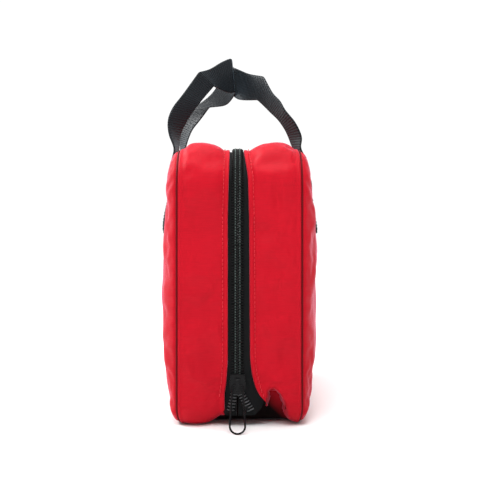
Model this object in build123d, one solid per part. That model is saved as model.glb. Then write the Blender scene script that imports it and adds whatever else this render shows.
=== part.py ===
"""Soft first aid kit: a red zipped bag with two webbing handles, and the supplies inside it.

Frame: +Z up, the front panel faces -Y, the zip closes at the foot of the +X end.
The origin is the middle of the flat base that the bag stands on. Millimetres.
"""

import math
import os

from build123d import *

# ---- driving dimensions of the bag ----
WIDTH = 240.0  # end face to end face, along X
GUSSET = 94.0  # front seam to rear seam, along Y
HEIGHT = 214.0  # base to top face
BULGE = 20.0  # how far each stuffed panel stands out of its seam
TOP_RADIUS = 32.0  # top corners of the panels
FOOT_RADIUS = 20.0  # bottom corners of the panels
RIM_RADIUS = 18.0  # roll of the panel into its seam
FABRIC = 1.6  # shell fabric with its lining
FOLD_HEIGHT = 12.0  # the front panel folds down about a line this high
SPLIT = 0.15  # half of the gap left along that fold

# ---- zip: size 8 coil ----
ZIP_Y = -1.5  # the zip runs a little in front of the middle
OPEN_FRONT = 7.6  # zip's middle to the front fabric edge
OPEN_REAR = 9.0  # zip's middle to the rear fabric edge
TAPE = 0.8  # tape thickness
TAPE_REACH = 15.0  # how far each tape runs from the zip's middle
TAPE_EDGE = 1.2  # half of the gap between the two tape edges
TAPE_CUT_Y = 5.2  # the front tape's foot is cut back this far from the zip's middle
TAPE_CUT_Z = 21.0  # and up to this height, so that it swings up past the slider
COIL_HALF = 4.0  # half width of the closed chain
COIL_HEIGHT = 2.6
CHAIN_FOOT = 33.0  # the chain is closed above this height on the +X end
TAIL_FOOT = 15.4  # lowest point of the coils
TAIL_LEAN_FRONT = 9.0  # degrees that each open coil tail leans away
TAIL_LEAN_REAR = 26.0
TAIL_START = 3.0  # zip's middle to the middle of each tail, at its top

# ---- slider and pull ----
SLIDER_Z = 32.5  # centre of the slider when the kit is shut
SLIDER_LENGTH = 15.0
SLIDER_PLATE = 1.4
WIRE = 1.4  # pull wire diameter
PULL_LENGTH = 36.5  # pivot to the middle of the loop's end
PULL_TOP = 7.6  # loop width at the pivot
PULL_END = 11.2  # loop width at its round end
PULL_LEAN = 33.0  # degrees from hanging straight down to the ground in front

# ---- handles: 25 mm webbing ----
WEBBING = 1.6
STRAP = 25.0
LEG_X = 55.0  # middle of each handle leg
TAB_FOOT = 148.0
TAB_TOP = 180.0
FRONT_TOP = 311.0
REAR_TOP = 306.0
HANDLE_GAP = 0.8  # half of the gap where the two handles meet
HANDLE_LIFT = 0.4  # gap between each handle and the panel behind it
ARCH_DEPTH = 20.0  # how far the arch comes down at the handle's crown

# ---- inside ----
BOARD_MARGIN = 20.0  # bag outline to the edge of the padded boards
NET_X = 98.0  # half width of the net pockets
NET_FOOT = 26.0
NET_TOP = 138.0
NET_FRONT = 50.0  # how far each net stands from the middle of the bag
NET_REAR = 41.0
ELASTIC = 9.0  # width of the elastic edge
PIVOT = (-14.0, 128.0)  # the scissors' rivet, in X and Z
TOOL_Y = -44.6  # middle plane of the scissors and tweezers
BLADE = 1.6  # thickness of a scissor blade
BOW = 5.0  # thickness of a moulded bow
FLOOR = 1.9  # where the packed supplies stand
ROW_FRONT = -36.0  # front face of the packed supplies
CREPE_RADIUS = 24.0
CREPE_X = (7.0, 57.0)
SALINE = (84.0, 19.5)  # X and Y of the bottle

# ---- values that follow from the above ----
SEAM_Y = GUSSET / 2
FACE_Y = SEAM_Y + BULGE
LINING_Y = FACE_Y - FABRIC - 1.4  # inner side of the lining board
TAPE_OUT = WIDTH / 2 - FABRIC  # outer side of the tape on the +X end
COIL_IN = FABRIC - COIL_HEIGHT  # inset of the coil's outer side
TAIL_WIDTH = COIL_HALF - 0.02
BIG = 600.0  # beyond anything here, for cutting
FRONT = -1
REAR = 1

parts = {}


def block(x0, x1, y0, y1, z0, z1):
    """A box given by its limits."""
    return Pos((x0 + x1) / 2, (y0 + y1) / 2, (z0 + z1) / 2) * Box(x1 - x0, y1 - y0, z1 - z0)


def soft_block(x0, x1, y0, y1, z0, z1, radius):
    """A box with every edge rounded."""
    shape = block(x0, x1, y0, y1, z0, z1)
    return fillet(shape.edges(), radius)


def extrude_y(face, y0, y1):
    """A face drawn in the XZ plane, made solid from y0 to y1."""
    return extrude(Pos(0, y0, 0) * face, amount=y1 - y0, dir=(0, 1, 0))


def outline(inset):
    """The bag's side outline as a face in the XZ plane, drawn in by inset."""
    sketch = Pos(0, HEIGHT / 2) * Rectangle(WIDTH - 2 * inset, HEIGHT - 2 * inset)
    sketch = fillet(sketch.vertices().group_by(Axis.Y)[-1], TOP_RADIUS - inset)
    sketch = fillet(sketch.vertices().group_by(Axis.Y)[0], FOOT_RADIUS - inset)
    return Plane.XZ * sketch


def slab(inset, y0, y1):
    return extrude_y(outline(inset), y0, y1)


def band(inset_out, inset_in, y0, y1):
    """A strip that runs round the bag's side outline, between two insets."""
    return slab(inset_out, y0, y1) - slab(inset_in, y0 - 1, y1 + 1)


def above(shape, z):
    return shape & block(-BIG, BIG, -BIG, BIG, z, BIG)


def below(shape, z):
    return shape & block(-BIG, BIG, -BIG, BIG, -BIG, z)


def to_side(shape, side):
    """Turns a shape made for the rear into the front one."""
    return mirror(shape, about=Plane.XZ) if side == FRONT else shape


# ---------------------------------------------------------------- shell


def panel():
    """A stuffed face panel, made for the rear: a shallow pan with a rolled rim."""
    outer = slab(0, SEAM_Y, FACE_Y)
    rim = outer.faces().sort_by(Axis.Y)[-1].edges()
    outer = fillet(rim, RIM_RADIUS)
    inner = slab(FABRIC, SEAM_Y, FACE_Y - FABRIC)
    rim = inner.faces().sort_by(Axis.Y)[-1].edges()
    inner = fillet(rim, RIM_RADIUS - FABRIC)
    return outer - inner


def gusset(side):
    """The strip between one panel's seam and the zip, over the two ends and the top."""
    low, high = (-SEAM_Y, ZIP_Y - OPEN_FRONT) if side == FRONT else (ZIP_Y + OPEN_REAR, SEAM_Y)
    return above(band(0, FABRIC, low, high), FOLD_HEIGHT + SPLIT)


def base_gusset():
    """The strip under the bag that both halves share, with its two turned-up ends."""
    return below(band(0, FABRIC, -SEAM_Y, SEAM_Y), FOLD_HEIGHT - SPLIT)


def seam_binding(side):
    """Tape that covers the raw seam edges inside one half."""
    width, thick, gap = 10.0, 0.8, 2.6
    low = SEAM_Y - width - gap
    strip = band(FABRIC, FABRIC + thick, low, SEAM_Y - gap)
    strip = to_side(strip, side)
    return above(strip, FOLD_HEIGHT + SPLIT)


def lining(side):
    """The padded board behind a face panel."""
    width, height = WIDTH - 2 * BOARD_MARGIN, HEIGHT - 2 * BOARD_MARGIN
    face = Pos(0, HEIGHT / 2) * RectangleRounded(width, height, 14.0)
    board = extrude_y(Plane.XZ * face, LINING_Y, FACE_Y - FABRIC)
    return to_side(board, side)


# ---------------------------------------------------------------- zip


def tape(side):
    low, high = (
        (ZIP_Y - TAPE_REACH, ZIP_Y - TAPE_EDGE)
        if side == FRONT
        else (ZIP_Y + TAPE_EDGE, ZIP_Y + TAPE_REACH)
    )
    strip = above(band(FABRIC, FABRIC + TAPE, low, high), FOLD_HEIGHT + SPLIT)
    if side == FRONT:
        strip -= block(0, BIG, ZIP_Y - TAPE_CUT_Y, BIG, 0, TAPE_CUT_Z)
    return strip


def tail_lean(side):
    return TAIL_LEAN_FRONT if side == FRONT else TAIL_LEAN_REAR


def tail_corner(side):
    """How far a leaning tail's outer corner stands above the middle of its end."""
    return TAIL_WIDTH / 2 * math.sin(math.radians(tail_lean(side)))


def tail_top(side):
    return SLIDER_Z - SLIDER_LENGTH / 2 - 0.4 - tail_corner(side)


def tail_length(side):
    return (tail_top(side) - TAIL_FOOT - tail_corner(side)) / math.cos(math.radians(tail_lean(side)))


def tail_end_y(side):
    """Y of the middle of a tail's foot."""
    reach = TAIL_START + tail_length(side) * math.sin(math.radians(tail_lean(side)))
    return ZIP_Y + side * reach


def coil(side):
    """One half of the closed chain, and its open tail under the slider."""
    gap = 0.02
    low, high = (
        (ZIP_Y - COIL_HALF, ZIP_Y - gap)
        if side == FRONT
        else (ZIP_Y + gap, ZIP_Y + COIL_HALF)
    )
    strip = band(COIL_IN, FABRIC, low, high)
    far = strip & block(-BIG, 0, -BIG, BIG, TAIL_FOOT, BIG)
    near = strip & block(0, BIG, -BIG, BIG, CHAIN_FOOT, BIG)
    chain = far + near
    tail = block(TAPE_OUT, TAPE_OUT + COIL_HEIGHT, -TAIL_WIDTH / 2, TAIL_WIDTH / 2, -tail_length(side), 0)
    tail = Rot(side * tail_lean(side), 0, 0) * tail
    tail = Pos(0, ZIP_Y + side * TAIL_START, tail_top(side)) * tail
    return Compound(children=[*chain.solids(), *tail.solids()])


def zip_stops():
    """Crimped stops: one across the chain at the far end, one on each coil tail."""
    clip, wall = 5.0, 0.8
    half = COIL_HALF + wall + 0.1
    x_tape = -TAPE_OUT
    x_top = x_tape - COIL_HEIGHT
    z0 = TAIL_FOOT + 1
    cross = block(x_top - wall, x_top - 0.05, ZIP_Y - half, ZIP_Y + half, z0, z0 + clip)
    for sign in (-1, 1):
        edge = ZIP_Y + sign * (half - wall / 2)
        cross += block(x_top - wall, x_tape - 0.05, edge - wall / 2, edge + wall / 2, z0, z0 + clip)
    return cross


def end_stop(side):
    """The crimped stop at the foot of one open coil tail."""
    size = 2.4
    y = tail_end_y(side) + side * 0.6
    z = FOLD_HEIGHT + 0.4
    return soft_block(TAPE_OUT, TAPE_OUT + 2.2, y - size / 2, y + size / 2, z, TAIL_FOOT - 0.4, 0.4)


def zip_tail(end):
    """The tape ends, stitched down behind the base strip at one end of the zip."""
    x_in = WIDTH / 2 - FABRIC - TAPE
    strip = band(FABRIC, FABRIC + TAPE, ZIP_Y - TAPE_REACH, ZIP_Y + TAPE_REACH)
    strip = below(strip, FOLD_HEIGHT - SPLIT)
    strip = above(strip, 3.0)
    side = block(60, x_in + 10, -BIG, BIG, -BIG, BIG)
    return strip & (side if end > 0 else mirror(side, about=Plane.YZ))


# ---------------------------------------------------------------- slider and pull


def slider_outline(inset):
    """Shield shape of a slider plate, in the YZ plane: wide foot, narrow head."""
    head, waist, foot = 5.2 - inset, 6.0 - inset, 4.6 - inset
    top = SLIDER_LENGTH / 2
    half = [(head, top), (waist, 0.5), (waist, -3.5), (foot, -top)]
    points = half + [(-y, z) for y, z in reversed(half)]
    return Plane.YZ * make_face(Polyline(*points, close=True))


def slider():
    """Two plates, a post between them, curled flanges and the bridge for the pull."""
    tape_gap, flange = 0.4, 1.0
    top_in = COIL_HEIGHT + 0.2
    bottom_out = -TAPE - tape_gap
    plate = extrude(slider_outline(0), amount=SLIDER_PLATE, dir=(1, 0, 0))
    upper = Pos(top_in, 0, 0) * plate
    lower = Pos(bottom_out - SLIDER_PLATE, 0, 0) * plate
    skirt = extrude(slider_outline(0), amount=top_in - tape_gap, dir=(1, 0, 0))
    skirt -= extrude(slider_outline(flange), amount=top_in, dir=(1, 0, 0))
    skirt &= block(-1, 10, -20, 20, -3.0, SLIDER_LENGTH / 2 - 0.5)
    skirt -= block(-1, 10, -COIL_HALF - 0.15, COIL_HALF + 0.15, -20, 20)
    skirt = Pos(tape_gap, 0, 0) * skirt
    post = block(bottom_out, top_in, -0.9, 0.9, -SLIDER_LENGTH / 2 + 0.6, -2.2)
    roof = top_in + SLIDER_PLATE
    bridge = block(roof, roof + 3.2, -1.3, 1.3, -4.2, 4.6)
    bridge = fillet(bridge.edges().filter_by(Axis.Y).group_by(Axis.X)[-1], 1.4)
    bridge -= block(roof, roof + 2.0, -2, 2, -2.6, 3.0)
    body = upper + lower + skirt + post + bridge
    return Pos(TAPE_OUT, ZIP_Y, SLIDER_Z) * body


def pull_pivot():
    x = TAPE_OUT + COIL_HEIGHT + 0.2 + SLIDER_PLATE + 1.0
    return Vector(x, ZIP_Y, SLIDER_Z - 1.0)


def pull():
    """The wire loop: a bar through the bridge, two straight legs and a round end."""
    r = PULL_END / 2
    z_arc = -PULL_LENGTH + r
    a, b = (-PULL_TOP / 2, 0), (PULL_TOP / 2, 0)
    c, d = (r, z_arc), (-r, z_arc)
    corner = 1.6
    head = FilletPolyline(d, a, b, c, radius=corner)
    arc = ThreePointArc(c, (0, -PULL_LENGTH), d)
    path = Plane.YZ * (head + arc)
    wire_path = Wire(path.edges())
    start = Plane(origin=wire_path @ 0, z_dir=wire_path % 0)
    loop = sweep(start * Circle(WIRE / 2), path=wire_path, transition=Transition.ROUND)
    pivot = pull_pivot()
    return Pos(*pivot) * Rot(0, -PULL_LEAN, 0) * loop


# ---------------------------------------------------------------- handles


def handle_profile(side, top):
    """The loop seen from the end: up from its tabs, bowed out, then in to the middle."""
    foot_y = FACE_Y + HANDLE_LIFT + WEBBING / 2
    meet = ZIP_Y + side * (HANDLE_GAP + WEBBING / 2)
    rise = top - HEIGHT
    points = [
        (side * foot_y, TAB_TOP + 0.3),
        (side * foot_y, HEIGHT + 0.15 * rise),
        (side * (foot_y - 12), HEIGHT + 0.5 * rise),
        (side * (foot_y - 42), top - 0.24 * rise),
        (meet, top - 0.8),
    ]
    path = FilletPolyline(*points, radius=24)
    return Plane.YZ * trace(path, line_width=WEBBING)


def handle(side, top):
    """A webbing loop: an arch cut from a sheet that follows the profile."""
    sheet = extrude(handle_profile(side, top), amount=LEG_X * 2, both=True)
    outer_x = LEG_X + STRAP / 2
    inner_x = LEG_X - STRAP / 2
    crown = top - ARCH_DEPTH
    arch = Pos(0, (TAB_TOP + top + 2) / 2) * Rectangle(2 * outer_x, top + 2 - TAB_TOP)
    arch = fillet(arch.vertices().group_by(Axis.Y)[-1], 42)
    hole = Pos(0, (TAB_TOP - 2 + crown) / 2) * Rectangle(2 * inner_x, crown - TAB_TOP + 2)
    hole = fillet(hole.vertices().group_by(Axis.Y)[-1], 22)
    return sheet & extrude_y(Plane.XZ * (arch - hole), -FACE_Y * 1.5, FACE_Y * 1.5)


def handle_tabs(side):
    """The two ends of a handle, stitched flat to the panel."""
    tabs = [
        to_side(block(x - STRAP / 2, x + STRAP / 2, FACE_Y, FACE_Y + WEBBING, TAB_FOOT, TAB_TOP), side)
        for x in (-LEG_X, LEG_X)
    ]
    return Compound(children=tabs)


def box_stitches(side):
    """Box-and-cross stitching that holds the handle tabs, as raised thread runs."""
    thread, margin = 0.7, 3.0
    half_w, half_h = STRAP / 2 - margin, (TAB_TOP - TAB_FOOT) / 2 - margin
    z = (TAB_FOOT + TAB_TOP) / 2
    y = FACE_Y + WEBBING
    groups = []
    for x in (-LEG_X, LEG_X):
        frame = Rectangle(2 * half_w, 2 * half_h) - Rectangle(2 * (half_w - thread), 2 * (half_h - thread))
        diagonal = math.degrees(math.atan2(half_h, half_w))
        length = 2 * math.hypot(half_w, half_h) - 2 * thread
        for angle in (diagonal, -diagonal):
            frame += Rot(0, 0, angle) * Rectangle(length, thread)
        face = Plane.XZ * (Pos(x, z) * frame)
        groups += to_side(extrude_y(face, y, y + 0.4), side).solids()
    return Compound(children=groups)


# ---------------------------------------------------------------- pockets


def net_pocket(side):
    """A net panel across one half, with its elastic top edge as a separate strip."""
    thick, proud = 0.8, 0.5
    y = NET_FRONT if side == FRONT else NET_REAR
    net = block(-NET_X, NET_X, y - thick, y, NET_FOOT, NET_TOP)
    edge = block(-NET_X, NET_X, y - thick - proud, y + proud, NET_TOP, NET_TOP + ELASTIC)
    return to_side(net, side), to_side(edge, side)


def pocket_binding(side):
    """The tape that joins a net pocket's three sewn sides to the lining."""
    thick, top = 1.0, NET_TOP + ELASTIC
    y = NET_FRONT if side == FRONT else NET_REAR
    frame = block(-NET_X - thick, NET_X + thick, y, LINING_Y, NET_FOOT - thick, top)
    frame -= block(-NET_X, NET_X, y - 1, LINING_Y + 1, NET_FOOT, top + 1)
    return to_side(frame, side)


def tool_band():
    """The elastic band across the lid that the scissors and tweezers sit under."""
    x, y, thick, z0, z1 = 92.0, -38.6, 1.0, 150.0, 168.0
    strap = block(-x, x, y, y + thick, z0, z1)
    for end in (-x, x):
        strap += block(end - thick / 2, end + thick / 2, -LINING_Y, y + thick, z0, z1)
    return strap


# ---------------------------------------------------------------- tools


def scissor_half(sign, y0):
    """One blade with its shank, and its bow. sign says which side its bow is on."""
    px, pz = PIVOT
    blade = Polyline((-5.5 * sign, -6), (-1.2 * sign, 60), (2.4 * sign, 60), (5.0 * sign, -6), close=True)
    shank = Polyline((-5.5 * sign, 2), (5.0 * sign, 2), (15.0 * sign, -34), (6.0 * sign, -36), close=True)
    flat = make_face(blade) + make_face(shank) + Circle(6.5)
    flat -= Circle(2.0)
    body = extrude_y(Plane.XZ * flat, -BLADE / 2, BLADE / 2)
    ring = Pos(15.5 * sign, -48) * (Ellipse(12.5, 17.5) - Ellipse(7.6, 12.4))
    bow = extrude_y(Plane.XZ * ring, -BOW / 2, BOW / 2)
    return Pos(px, y0, pz) * body, Pos(px, TOOL_Y, pz) * bow


def scissors():
    """Two blades that pass face to face, their moulded bows, and the rivet."""
    step = (BLADE + 0.2) / 2
    steel_a, bow_a = scissor_half(1, TOOL_Y - step)
    steel_b, bow_b = scissor_half(-1, TOOL_Y + step)
    steel_a -= bow_a
    steel_b -= bow_b
    px, pz = PIVOT
    pin = Pos(px, TOOL_Y, pz) * Rot(90, 0, 0) * Cylinder(1.95, 2 * (BLADE + 0.2) - 0.2)
    heads = [
        Pos(px, TOOL_Y + s * (BLADE + 0.1 + 0.35 + 0.02), pz) * Rot(90, 0, 0) * Cylinder(3.4, 0.7)
        for s in (-1, 1)
    ]
    rivet = pin + heads[0] + heads[1]
    return steel_a, bow_a, steel_b, bow_b, rivet


def tweezers():
    """Two sprung arms joined at the head."""
    x, y, z_low, length = 62.0, TOOL_Y, 86.0, 108.0
    arms = []
    for sign in (-1, 1):
        arm = block(-0.6, 0.6, -3.5, 3.5, -length, 0)
        tip = block(-0.6, 0.6, -1.2, 1.2, -length - 8, -length)
        arms.append(Rot(0, -sign * 2.6, 0) * (arm + tip))
    head = block(-1.6, 1.6, -3.5, 3.5, -4, 8)
    pair = arms[0] + arms[1] + head
    return Pos(x, y, z_low + length) * pair


# ---------------------------------------------------------------- supplies


def upright_roll(x, y, z, radius, length):
    return Pos(x, y, z + length / 2) * Cylinder(radius, length)


def gauze_rolls():
    """Three wrapped gauze rolls that stand side by side."""
    radius, length = 18.5, 70.0
    rolls = [upright_roll(5 + i * 38.0, ROW_FRONT + radius, FLOOR, radius, length) for i in range(3)]
    return Compound(children=rolls)


def crepe_bandages():
    """Two elastic crepe bandages on top of the gauze rolls."""
    rolls = [upright_roll(x, ROW_FRONT + CREPE_RADIUS, 75.0, CREPE_RADIUS, 66.0) for x in CREPE_X]
    return Compound(children=rolls)


def bandage_clips():
    """The two small clips that fasten the crepe bandages."""
    clips = [block(x - 9, x + 9, ROW_FRONT - 1.2, ROW_FRONT - 0.2, 104, 110) for x in CREPE_X]
    return Compound(children=clips)


def plaster_box():
    return soft_block(-98, -16, ROW_FRONT, ROW_FRONT + 36, FLOOR, 66, 1.2)


def dressing_packs():
    """A stack of sterile dressings in paper sachets."""
    packs = []
    for i in range(6):
        y = ROW_FRONT + 2 + i * 5.6
        packs.append(soft_block(-106, -20, y, y + 5.2, 67.5, 147, 1.5))
    return Compound(children=packs)


def tape_roll():
    """Adhesive tape wound on its spool."""
    centre = Pos(-74, ROW_FRONT + 15, 178) * Rot(90, 0, 0)
    return centre * (Cylinder(27, 25) - Cylinder(19.1, 26))


def tape_spool():
    centre = Pos(-74, ROW_FRONT + 15, 178) * Rot(90, 0, 0)
    return centre * (Cylinder(19, 25) - Cylinder(12, 26))


def wipes_box():
    return soft_block(-40, 14, ROW_FRONT, ROW_FRONT + 34, 149.5, 200, 1.2)


def gloves_pack():
    return soft_block(20, 100, ROW_FRONT + 2, ROW_FRONT + 28, 143.5, 190, 6.0)


def saline_bottle():
    """Eyewash bottle behind the rolls, without its cap."""
    x, y, z = *SALINE, FLOOR
    body = upright_roll(x, y, z, 15.5, 92)
    body = fillet(body.edges(), 4)
    return body + upright_roll(x, y, z + 90, 7.0, 10)


def saline_cap():
    return upright_roll(*SALINE, FLOOR + 100.2, 9.0, 12)


def triangular_bandages():
    packs = []
    for i in range(2):
        y = 3.0 + i * 15.4
        packs.append(soft_block(-98, -4, y, y + 15, FLOOR, 73, 3.0))
    return Compound(children=packs)


def pressure_dressing():
    return soft_block(0, 66, 4, 34, FLOOR, 72, 5.0)


def breathing_mask():
    """Face shield in its round-cornered pouch."""
    return soft_block(-100, -16, 3, 32, 84, 150, 4.0)


def cold_pack():
    return soft_block(-94, 2, 43.5, 61, 30, 150, 6.0)


def rescue_blanket():
    return soft_block(8, 92, 43.5, 61, 30, 128, 5.0)


def guide_booklet():
    """First aid leaflet behind the lid's net."""
    return block(-70, 40, -56.0, -53.0, 32, 160)


def add_tools():
    """The scissors and tweezers under the lid's elastic band."""
    steel_a, bow_a, steel_b, bow_b, rivet = scissors()
    parts["scissors_blade_fixed"] = steel_a
    parts["scissors_bow_fixed"] = bow_a
    parts["scissors_blade_moving"] = steel_b
    parts["scissors_bow_moving"] = bow_b
    parts["scissors_rivet"] = rivet
    parts["tweezers"] = tweezers()


def add_shell():
    rear_panel = panel()
    front_panel = to_side(panel(), FRONT)
    parts["rear_panel"] = rear_panel
    parts["front_panel"] = above(front_panel, FOLD_HEIGHT + SPLIT)
    parts["front_panel_fold"] = below(front_panel, FOLD_HEIGHT - SPLIT)
    parts["base_gusset"] = base_gusset()
    for name, side in (("front", FRONT), ("rear", REAR)):
        parts[f"{name}_gusset"] = gusset(side)
        parts[f"{name}_seam_binding"] = seam_binding(side)
        parts[f"{name}_lining"] = lining(side)
        parts[f"zip_tape_{name}"] = tape(side)
        parts[f"zip_coil_{name}"] = coil(side)
        parts[f"zip_end_stop_{name}"] = end_stop(side)
        net, edge = net_pocket(side)
        parts[f"{name}_net_pocket"] = net
        parts[f"{name}_pocket_elastic"] = edge
        parts[f"{name}_pocket_binding"] = pocket_binding(side)
        parts[f"{name}_handle_tabs"] = handle_tabs(side)
        parts[f"{name}_handle_stitching"] = box_stitches(side)
    parts["front_handle"] = handle(FRONT, FRONT_TOP)
    parts["rear_handle"] = handle(REAR, REAR_TOP)
    parts["zip_bottom_stop"] = zip_stops()
    parts["zip_tail_near"] = zip_tail(1)
    parts["zip_tail_far"] = zip_tail(-1)
    parts["zip_slider"] = slider()
    parts["zip_pull"] = pull()
    parts["tool_band"] = tool_band()


def add_supplies():
    add_tools()
    for make in (
        gauze_rolls,
        crepe_bandages,
        bandage_clips,
        plaster_box,
        dressing_packs,
        tape_roll,
        tape_spool,
        wipes_box,
        gloves_pack,
        saline_bottle,
        saline_cap,
        triangular_bandages,
        pressure_dressing,
        breathing_mask,
        cold_pack,
        rescue_blanket,
        guide_booklet,
    ):
        parts[make.__name__] = make()


add_shell()
add_supplies()
os.makedirs("parts", exist_ok=True)
for name, shape in parts.items():
    export_step(shape, f"parts/{name}.step")
print(len(parts), "nodes; pull pivot", tuple(round(v, 3) for v in pull_pivot()))
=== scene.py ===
"""Looks for the soft first aid kit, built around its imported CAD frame.

Shapes are worked out in millimetres and scaled to metres when a mesh is made.
The near end is +X, the front half is at -Y, and +Z is up.
"""
import math
import random

import bmesh
import bpy
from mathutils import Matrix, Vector, noise
from mathutils.bvhtree import BVHTree


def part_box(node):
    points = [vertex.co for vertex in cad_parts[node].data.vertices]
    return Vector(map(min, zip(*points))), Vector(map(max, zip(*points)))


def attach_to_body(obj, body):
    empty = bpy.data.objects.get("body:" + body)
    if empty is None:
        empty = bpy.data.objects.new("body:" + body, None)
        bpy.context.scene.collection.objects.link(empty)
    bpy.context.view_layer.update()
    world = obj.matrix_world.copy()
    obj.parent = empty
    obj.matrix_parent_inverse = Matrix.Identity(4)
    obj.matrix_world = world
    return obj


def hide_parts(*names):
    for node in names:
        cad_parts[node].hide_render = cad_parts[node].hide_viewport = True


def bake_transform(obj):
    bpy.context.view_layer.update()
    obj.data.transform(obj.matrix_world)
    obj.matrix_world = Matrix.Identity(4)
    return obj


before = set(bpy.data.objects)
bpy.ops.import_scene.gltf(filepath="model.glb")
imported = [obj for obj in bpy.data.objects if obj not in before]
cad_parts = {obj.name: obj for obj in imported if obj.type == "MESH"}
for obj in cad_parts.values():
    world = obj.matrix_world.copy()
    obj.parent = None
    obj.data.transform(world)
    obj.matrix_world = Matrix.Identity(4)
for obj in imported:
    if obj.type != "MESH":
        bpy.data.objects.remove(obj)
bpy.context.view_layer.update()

MM = 0.001

FRONT = -1
REAR = 1
HALF = {FRONT: "front", REAR: "rear"}


def named(side, what):
    """A name that starts with the half it belongs to."""
    return f"{HALF[side]}_{what}"


def mm_box(node):
    """A CAD node's lowest and highest corners in millimetres."""
    low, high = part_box(node)
    return low / MM, high / MM


# ---------------------------------------------------------------- sizes taken from the frame

END_X = mm_box("rear_panel")[1].x  # outer face of each end
TOP_Z = mm_box("rear_panel")[1].z
SEAM_Y = mm_box("rear_gusset")[1].y
FACE_Y = mm_box("rear_panel")[1].y
FRONT_EDGE = mm_box("front_gusset")[1].y  # fabric edge in front of the zip
REAR_EDGE = mm_box("rear_gusset")[0].y
TAPE_X = mm_box("zip_tape_rear")[1].x  # outer side of the zip tapes
COIL_X = mm_box("zip_coil_rear")[1].x
SLIDER_LOW, SLIDER_HIGH = mm_box("zip_slider")
ZIP_Y = (SLIDER_LOW.y + SLIDER_HIGH.y) / 2
TAB_LOW, TAB_HIGH = mm_box("rear_handle_tabs")

TOP_RADIUS = 32.0
FOOT_RADIUS = 15.0
TUCK = 2.2  # how far the seams tuck in under the foot
STUFFING = 17.0  # how far a stuffed panel stands out of its seam
STRAP = 25.0  # width of the webbing
HEM = 3.5  # how far a strip's hem runs back under it
CHAIN_PITCH = 2.07  # from one tooth of a coil to the next
CLOTH = 0.9  # thickness of the nylon
GROUND_GAP = 0.5  # no point of the shell is lower than this
NEAR_X = 60.0  # shapes of the near end's foot lie beyond this


def smooth(t):
    """A step from 0 to 1 with soft ends, as t goes from 0 to 1."""
    t = min(max(t, 0.0), 1.0)
    return t * t * (3 - 2 * t)


def mix(a, b, t):
    """The value a share t of the way from a to b."""
    return a + (b - a) * t


def evenly(start, end, count):
    """count + 1 values from start to end."""
    return [mix(start, end, i / count) for i in range(count + 1)]


def grid_rows(first, second, point):
    """A row of points for each value in first, with one point for each value in second."""
    return [[point(a, b) for b in second] for a in first]


# ---------------------------------------------------------------- materials


class Tree:
    """Adds and links the nodes of a shader or world tree."""

    def __init__(self, tree):
        self.tree = tree

    def add(self, kind, values=(), **settings):
        """A new node. values are (input socket, value) pairs."""
        node = self.tree.nodes.new(kind)
        for key, value in settings.items():
            setattr(node, key, value)
        for socket, value in values:
            node.inputs[socket].default_value = value
        return node

    def link(self, source, target):
        self.tree.links.new(source, target)

    def math(self, operation, *values):
        """A Math node fed by numbers and sockets."""
        node = self.add("ShaderNodeMath", operation=operation)
        for socket, value in zip(node.inputs, values):
            if isinstance(value, (int, float)):
                socket.default_value = value
            else:
                self.link(value, socket)
        return node.outputs[0]

    def dot(self, source, vector):
        """How far a point lies along a vector."""
        node = self.add("ShaderNodeVectorMath", [(1, vector)], operation="DOT_PRODUCT")
        self.link(source, node.inputs[0])
        return node.outputs["Value"]

    def remap(self, source, start, end, low=0.0, high=1.0):
        """A value from start to end becomes one from low to high."""
        sockets = ("From Min", "From Max", "To Min", "To Max")
        node = self.add("ShaderNodeMapRange", zip(sockets, (start, end, low, high)))
        self.link(source, node.inputs["Value"])
        return node.outputs["Result"]

    def split(self, source, part):
        """One part of a vector, by its number."""
        node = self.add("ShaderNodeSeparateXYZ")
        self.link(source, node.inputs[0])
        return node.outputs[part]


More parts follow.
